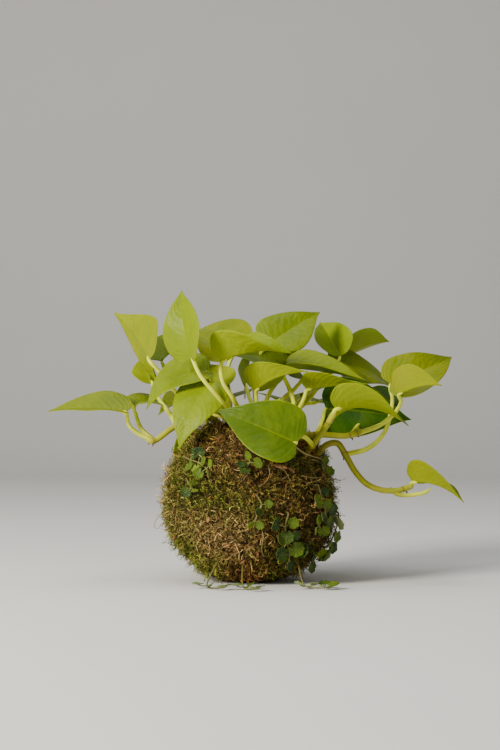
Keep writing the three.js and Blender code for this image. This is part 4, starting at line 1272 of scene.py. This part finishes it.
def stalk_finish(settings):
    """Smooth pale stalk, yellower towards the stem, with brown scars at the joints."""
    made, tree = new_finish("vine stalk")
    cloud = mottle(tree, 120.0)
    colour = mix(tree, attribute(tree, "tone"), settings.stem, settings.stalk)
    colour = mix(tree, times(tree, cloud, 0.3), colour, settings.middle)
    colour = mix(tree, times(tree, attribute(tree, "under"), 0.8), colour, SCAR_BROWN)
    streaks = node(tree, "ShaderNodeMapping", {"Vector": surface_map(tree), "Scale": STREAKS})
    lines = node(tree, "ShaderNodeTexNoise", {"Vector": streaks.outputs[0], "Scale": 1.0, "Detail": 3.0})
    return dress(made, colour, times(tree, cloud, 0.1, 0.38), [(0.3, 0.0003, lines.outputs[0])], 0.25,
        (0.2, (0.6, 1.0, 0.15), 0.002))


def dull_finish(name, first, second, scale, depth):
    """A dull, uneven finish between two colours."""
    made, tree = new_finish(name)
    cloud = mottle(tree, scale)
    return dress(made, mix(tree, cloud, first, second), ramp(tree, cloud, 0.0, 1.0, 0.75, 0.95),
        [(0.6, depth, cloud)], 0.25)


def creeper_finish(settings):
    """Satin creeper leaf, dark when old and light when young, with pale rays and underside."""
    made, tree = new_finish("creeper leaf")
    veins = use_group(tree, "ray veins", {"Surface": surface_map(tree)})
    cloud = mottle(tree, 160.0)
    shade = times(tree, cloud, 0.3, maths(tree, "SUBTRACT", attribute(tree, "tone"), 0.12))
    upper = mix(tree, shade, settings.dark, settings.light)
    upper = mix(tree, times(tree, veins["Vein"], 0.4), upper, settings.pale)
    return dress(made, mix(tree, underside(tree), upper, settings.pale), times(tree, cloud, 0.12, 0.46),
        [(0.5, 0.0003, veins["Relief"])], 0.15, (0.12, (0.4, 1.0, 0.2), 0.001))


def runner_finish(settings):
    """Thin green-brown runners and leaf stalks."""
    made, tree = new_finish("creeper runner")
    cloud = mottle(tree, 200.0)
    colour = mix(tree, attribute(tree, "tone"), RUNNER_BROWN, settings.runner)
    colour = mix(tree, times(tree, cloud, 0.4), colour, settings.light)
    return dress(made, colour, times(tree, cloud, 0.1, 0.5))


def moss_finish(name, settings, dry, painted_root_shade, painted_tip_light):
    """Fibrous moss: its patch colour, varied from shoot to shoot, with painted shade at the root and painted
    light at the tip.
    """
    made, tree = new_finish(name)
    tint = attribute(tree, "tint")
    cloud = mottle(tree, 330.0, Detail=3.0)
    bright, dull = (settings.tan, settings.rust) if dry else (settings.green, settings.brown)
    kept = 1.0 if dry else times(tree, attribute(tree, "dry"), -0.8, 1.0)
    fresh = times(tree, ramp(tree, tint, 0.5, 0.75), times(tree, kept, 0.7))
    colour = mix(tree, fresh, attribute(tree, "moss_colour", "Color"), tuple(1.3 * value for value in bright))
    colour = mix(tree, times(tree, ramp(tree, tint, 0.45, 0.2), 0.55), colour, dull)
    # Painted shade at the root of each fibre, rising to painted light at its tip
    gain = times(tree, attribute(tree, "reach"), painted_tip_light, painted_root_shade)
    gain = times(tree, gain, ramp(tree, cloud, 0.0, 1.0, 0.75, 1.2))
    own = maths(tree, "FRACT", times(tree, tint, 7.3))
    gain = times(tree, gain, ramp(tree, own, 0.0, 1.0, 0.3, 1.3))
    shade = node(tree, "ShaderNodeCombineXYZ", {0: gain, 1: gain, 2: gain}).outputs[0]
    return dress(made, mix(tree, 1.0, colour, shade, "MULTIPLY"), ramp(tree, cloud, 0.0, 1.0, 0.7, 0.9),
        specular=0.25)


def moss_bed_finish(settings):
    """The mat under the shoots, darkened all over with painted shade, with painted shade in dark gaps between
    its fibres.
    """
    made, tree = new_finish("moss bed")
    shaded_gaps = mottle(tree, 520.0, Detail=5.0, Low=0.42, High=0.62)
    # Painted shade: the dark colour fills the gaps between fibres, then the whole bed is darkened under the
    # shoots.
    colour = mix(tree, shaded_gaps, settings.dark, attribute(tree, "moss_colour", "Color"))
    return dress(made, mix(tree, 0.55, colour, PAINTED_BED_SHADE), ramp(tree, shaded_gaps, 0.0, 1.0, 0.95, 0.8),
        [(1.0, 0.0012, shaded_gaps)], 0.15)


def shared(name):
    """A node group that more than one piece or finish uses, built once."""
    if name not in bpy.data.node_groups:
        {"mottle": mottle_group, "side veins": side_vein_group, "ray veins": ray_vein_group,
            "growth on a surface": scatter_tree}[name]()
    return bpy.data.node_groups[name]


# Operators

def light(name, place, aim, size, power, colour):
    """A soft square light aimed at a place."""
    lamp = bpy.data.lights.new(name, "AREA")
    lamp.energy = power
    lamp.color = colour
    lamp.size = size
    made = shown(name, lamp)
    made.location = place
    made.rotation_euler = (Vector(aim) - Vector(place)).to_track_quat("-Z", "Y").to_euler()


class KOKEDAMA_OT_stage(bpy.types.Operator):
    """Adds the camera, the floor with its backdrop and the soft lights"""

    bl_idname = "kokedama.stage"
    bl_label = "Add Stage"

    def execute(self, context):
        settings = context.scene.kokedama_stage
        view = bpy.data.cameras.new("camera")
        view.lens = CAMERA_LENS
        view.sensor_fit = "VERTICAL"
        view.sensor_height = 36
        view.clip_end = 20
        camera = shown("camera", view)
        camera.location = CAMERA_PLACE
        camera.rotation_euler = (math.radians(90), 0, 0)
        context.scene.camera = camera
        path = [(FLOOR_FRONT, 0)]
        for angle in np.linspace(0, math.pi / 2, 13):
            path.append((FLOOR_BACK + FLOOR_BEND * math.sin(angle), FLOOR_BEND * (1 - math.cos(angle))))
        path.append((FLOOR_BACK + FLOOR_BEND, BACKDROP_TOP))
        mesh = bpy.data.meshes.new("floor")
        mesh.from_pydata([(x, y, z) for y, z in path for x in (-FLOOR_SIDE, FLOOR_SIDE)], [],
            [(2 * i, 2 * i + 1, 2 * i + 3, 2 * i + 2) for i in range(len(path) - 1)])
        for face in mesh.polygons:
            face.use_smooth = True
        paper, tree = new_finish("floor paper")
        paler = tuple(min(1, 1.03 * value) for value in settings.floor)
        mesh.materials.append(dress(paper, mix(tree, mottle(tree, 2.0), settings.floor, paler), 0.9))
        shown("floor", mesh)
        world = bpy.data.worlds.new("studio")
        world.use_nodes = True
        sky = world.node_tree.nodes["Background"]
        sky.inputs["Color"].default_value = SKY_COLOUR
        sky.inputs["Strength"].default_value = SKY_STRENGTH
        context.scene.world = world
        for name, place, aim, size, colour in LIGHTS:
            light(f"{name}_light", place, aim, size, getattr(settings, name), colour)
        return {"FINISHED"}


class KOKEDAMA_OT_leafy_stems(bpy.types.Operator):
    """Adds the vine's stems with their stalks and veined blades"""

    bl_idname = "kokedama.leafy_stems"
    bl_label = "Add Leafy Stems"

    def execute(self, context):
        settings = context.scene.kokedama_leaves
        bark = dull_finish("root bark", *DULL_FINISHES["root bark"])
        finishes = [blade_finish(settings), stalk_finish(settings), bark]
        chance = np.random.default_rng(5)
        for name, plan in LEAFY_STEMS.items():
            shape = Shape()
            for leaf in plan["leaves"]:
                add_blade(shape, leaf, settings, chance)
                add_stalk(shape, leaf)
            add_stem(shape, plan, chance)
            if plan["shoot"]:
                add_shoot(shape, plan["shoot"])
            piece = shape.make(f"{name}_leaves", finishes)
            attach(piece, "root")
            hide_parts(name)
        return {"FINISHED"}


class KOKEDAMA_OT_creeper(bpy.types.Operator):
    """Adds the sprigs of creeper"""

    bl_idname = "kokedama.creeper"
    bl_label = "Add Creeper"

    def execute(self, context):
        settings = context.scene.kokedama_creeper
        finishes = [creeper_finish(settings), runner_finish(settings)]
        chance = np.random.default_rng(11)
        for name, plan in CREEPER_SPRIGS.items():
            piece = sprig_shape(plan, settings, chance).make(f"{name}_sprig", finishes)
            above_floor(piece)
            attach(piece, "root")
            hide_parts(name)
        return {"FINISHED"}


class KOKEDAMA_OT_moss(bpy.types.Operator):
    """Adds the moss bed, its shoots and strands, and what is caught in it"""

    bl_idname = "kokedama.moss"
    bl_label = "Add Moss"

    def execute(self, context):
        settings = context.scene.kokedama_moss
        mesh = moss_bed(settings)
        chance = np.random.default_rng(23)
        shoots = [fibre_mesh(chance, settings.length, *SHOOT) for i in range(7)]
        strands = [fibre_mesh(chance, STRAND_LENGTH * settings.length, *STRAND) for i in range(7)]
        # The last two numbers are the painted shade at a fibre's root and the painted light added towards its
        # tip.
        fresh = moss_finish("moss shoots", settings, False, 0.1, 1.25)
        dry = moss_finish("moss strands", settings, True, 0.12, 1.3)
        bed = shown("moss_mat", mesh)
        bed.data.materials.append(moss_bed_finish(settings))
        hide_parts("moss_shell")
        pieces = [bed]
        for i in range(3):
            pieces.append(grown(f"moss_shoots_{i + 1}", mesh, shoots, {"Where": "growth",
                "Density": settings.shoots, "Spread": 2.2 + 0.8 * i, "Droop": settings.droop, "Smallest": 0.5,
                "Largest": 1.3, "Tufts": 130.0, "Seed": 31 + i, "Finish": fresh}))
        pieces.append(grown("moss_strands", mesh, strands, {"Where": "dry",
            "Density": settings.strands, "Spread": 3.2, "Droop": settings.droop, "Smallest": 0.45,
            "Largest": 1.35, "Tufts": 170.0, "Seed": 47, "Finish": dry}))
        pieces += [self.loose_fibres(), self.bark_chips(chance)]
        for piece in pieces:
            above_floor(piece, 0.0)
            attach(piece, "root")
        return {"FINISHED"}

    def loose_fibres(self):
        """Long fibres and dry roots that stand out from the moss."""
        shape = Shape()
        for points, radius in LOOSE_FIBRES:
            path = smooth_path(points, 1)
            tube(shape, path, radius * np.linspace(1, FIBRE_TAPER, len(path)), 0, sides=6)
        return shape.make("loose_fibres", [dull_finish("dry fibre", *DULL_FINISHES["dry fibre"])])

    def bark_chips(self, chance):
        """Flat chips of bark and dry leaf that lie on the moss."""
        shape = Shape()
        near = [3 * row for row in range(CHIP_ROWS)]
        rim = near + [near[-1] + 1] + [corner + 2 for corner in reversed(near)] + [1]
        for angle, height, length, width, turn in BARK_CHIPS:
            middle, outward = on_moss(angle, height, CHIP_LIFT)
            ahead = turned_about(unit(np.cross(outward, (0, 0, 1))), outward, turn)
            aside = np.cross(outward, ahead)
            rows = []
            for t in np.linspace(-1, 1, CHIP_ROWS):
                bulge = width / 2 * (1 - CHIP_TAPER * abs(t) ** 3) * chance.uniform(*CHIP_WIDTHS)
                rise = CHIP_BOW * (1 - t * t) + chance.uniform(-CHIP_SWAY, CHIP_SWAY)
                rows.append([middle + ahead * t * length / 2 + aside * s * bulge
                    + outward * (rise + CHIP_RIDGE * (1 - abs(s))) for s in (-1, 0, 1)])
            top = np.array(rows)
            shape.add_two_sided(top, top - outward * CHIP_THICKNESS, np.zeros((CHIP_ROWS, 3, 2)),
                zip(rim, rim[1:] + rim[:1]))
        return shape.make("bark_chips", [dull_finish("bark chip", *DULL_FINISHES["bark chip"])])


class KOKEDAMA_OT_soil(bpy.types.Operator):
    """Adds the soil with its crumbly crown"""

    bl_idname = "kokedama.soil"
    bl_label = "Add Soil"

    def execute(self, context):
        settings = context.scene.kokedama_soil
        crown = smooth_rows([SOIL_WALL[-1]] + SOIL_CROWN + [[0, SOIL_TOP]], SOIL_ROWS)
        crown[-1, 0] = 0
        profile = np.vstack([[[0, SOIL_FOOT]], SOIL_WALL[:-1], crown])
        grid = turned_shape(profile, SOIL_SIDES)
        places = grid.reshape(-1, 3)
        top = np.repeat(np.arange(len(grid)), grid.shape[1]) > len(SOIL_WALL) + 1
        places[:, 2] += np.where(top, lump_heights(places, CROWN_LUMPS), 0)
        mesh = weld(marked_mesh("soil", places, grid_faces(*grid.shape[:2]), {"growth": top * 1.0}))
        damp, deep, pale, dull = [tuple(share * value for value in settings.colour)
            for share in (1, 0.4, 1.3, 0.5)]
        soil = shown("soil_body", mesh)
        soil.data.materials.append(dull_finish("damp soil", damp, deep, 450.0, 0.0006))
        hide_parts("soil_ball")
        chance = np.random.default_rng(61)
        crumbs = [crumb_mesh(chance, settings.size) for i in range(4)]
        loose = grown("soil_crumbs", mesh, crumbs, {"Where": "growth", "Density": settings.crumbs,
            "Spread": 1.0, "Droop": 0.0, "Smallest": 0.5, "Largest": 1.6, "Seed": 5,
            "Finish": dull_finish("soil crumb", pale, dull, 300.0, 0.0003)})
        for piece in (soil, loose):
            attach(piece, "root")
        return {"FINISHED"}


class KOKEDAMA_PT_panel(bpy.types.Panel):
    """Lists the operators and their settings"""

    bl_idname = "KOKEDAMA_PT_panel"
    bl_label = "Kokedama"
    bl_space_type = "VIEW_3D"
    bl_region_type = "UI"
    bl_category = "Kokedama"

    def draw(self, context):
        for operator, group in zip(OPERATORS, SETTINGS):
            box = self.layout.box()
            box.operator(operator.bl_idname)
            settings = getattr(context.scene, group)
            for label in settings.__annotations__:
                box.prop(settings, label)


OPERATORS = (KOKEDAMA_OT_stage, KOKEDAMA_OT_leafy_stems, KOKEDAMA_OT_creeper, KOKEDAMA_OT_moss,
    KOKEDAMA_OT_soil)
SETTINGS = {
    "kokedama_stage": KokedamaStageSettings,
    "kokedama_leaves": KokedamaLeafSettings,
    "kokedama_creeper": KokedamaCreeperSettings,
    "kokedama_moss": KokedamaMossSettings,
    "kokedama_soil": KokedamaSoilSettings,
}


def register():
    """Registers the settings, the operators and the panel."""
    for name, group in SETTINGS.items():
        bpy.utils.register_class(group)
        setattr(bpy.types.Scene, name, bpy.props.PointerProperty(type=group))
    for operator in OPERATORS:
        bpy.utils.register_class(operator)
    bpy.utils.register_class(KOKEDAMA_PT_panel)


def unregister():
    """Takes back what register did."""
    bpy.utils.unregister_class(KOKEDAMA_PT_panel)
    for operator in reversed(OPERATORS):
        bpy.utils.unregister_class(operator)
    for name, group in reversed(SETTINGS.items()):
        delattr(bpy.types.Scene, name)
        bpy.utils.unregister_class(group)


def main():
    """Builds the stage and every piece."""
    register()
    bpy.ops.kokedama.stage()
    bpy.ops.kokedama.leafy_stems()
    bpy.ops.kokedama.creeper()
    bpy.ops.kokedama.moss()
    bpy.ops.kokedama.soil()
    bpy.context.view_layer.update()


if __name__ == "__main__":
    main()
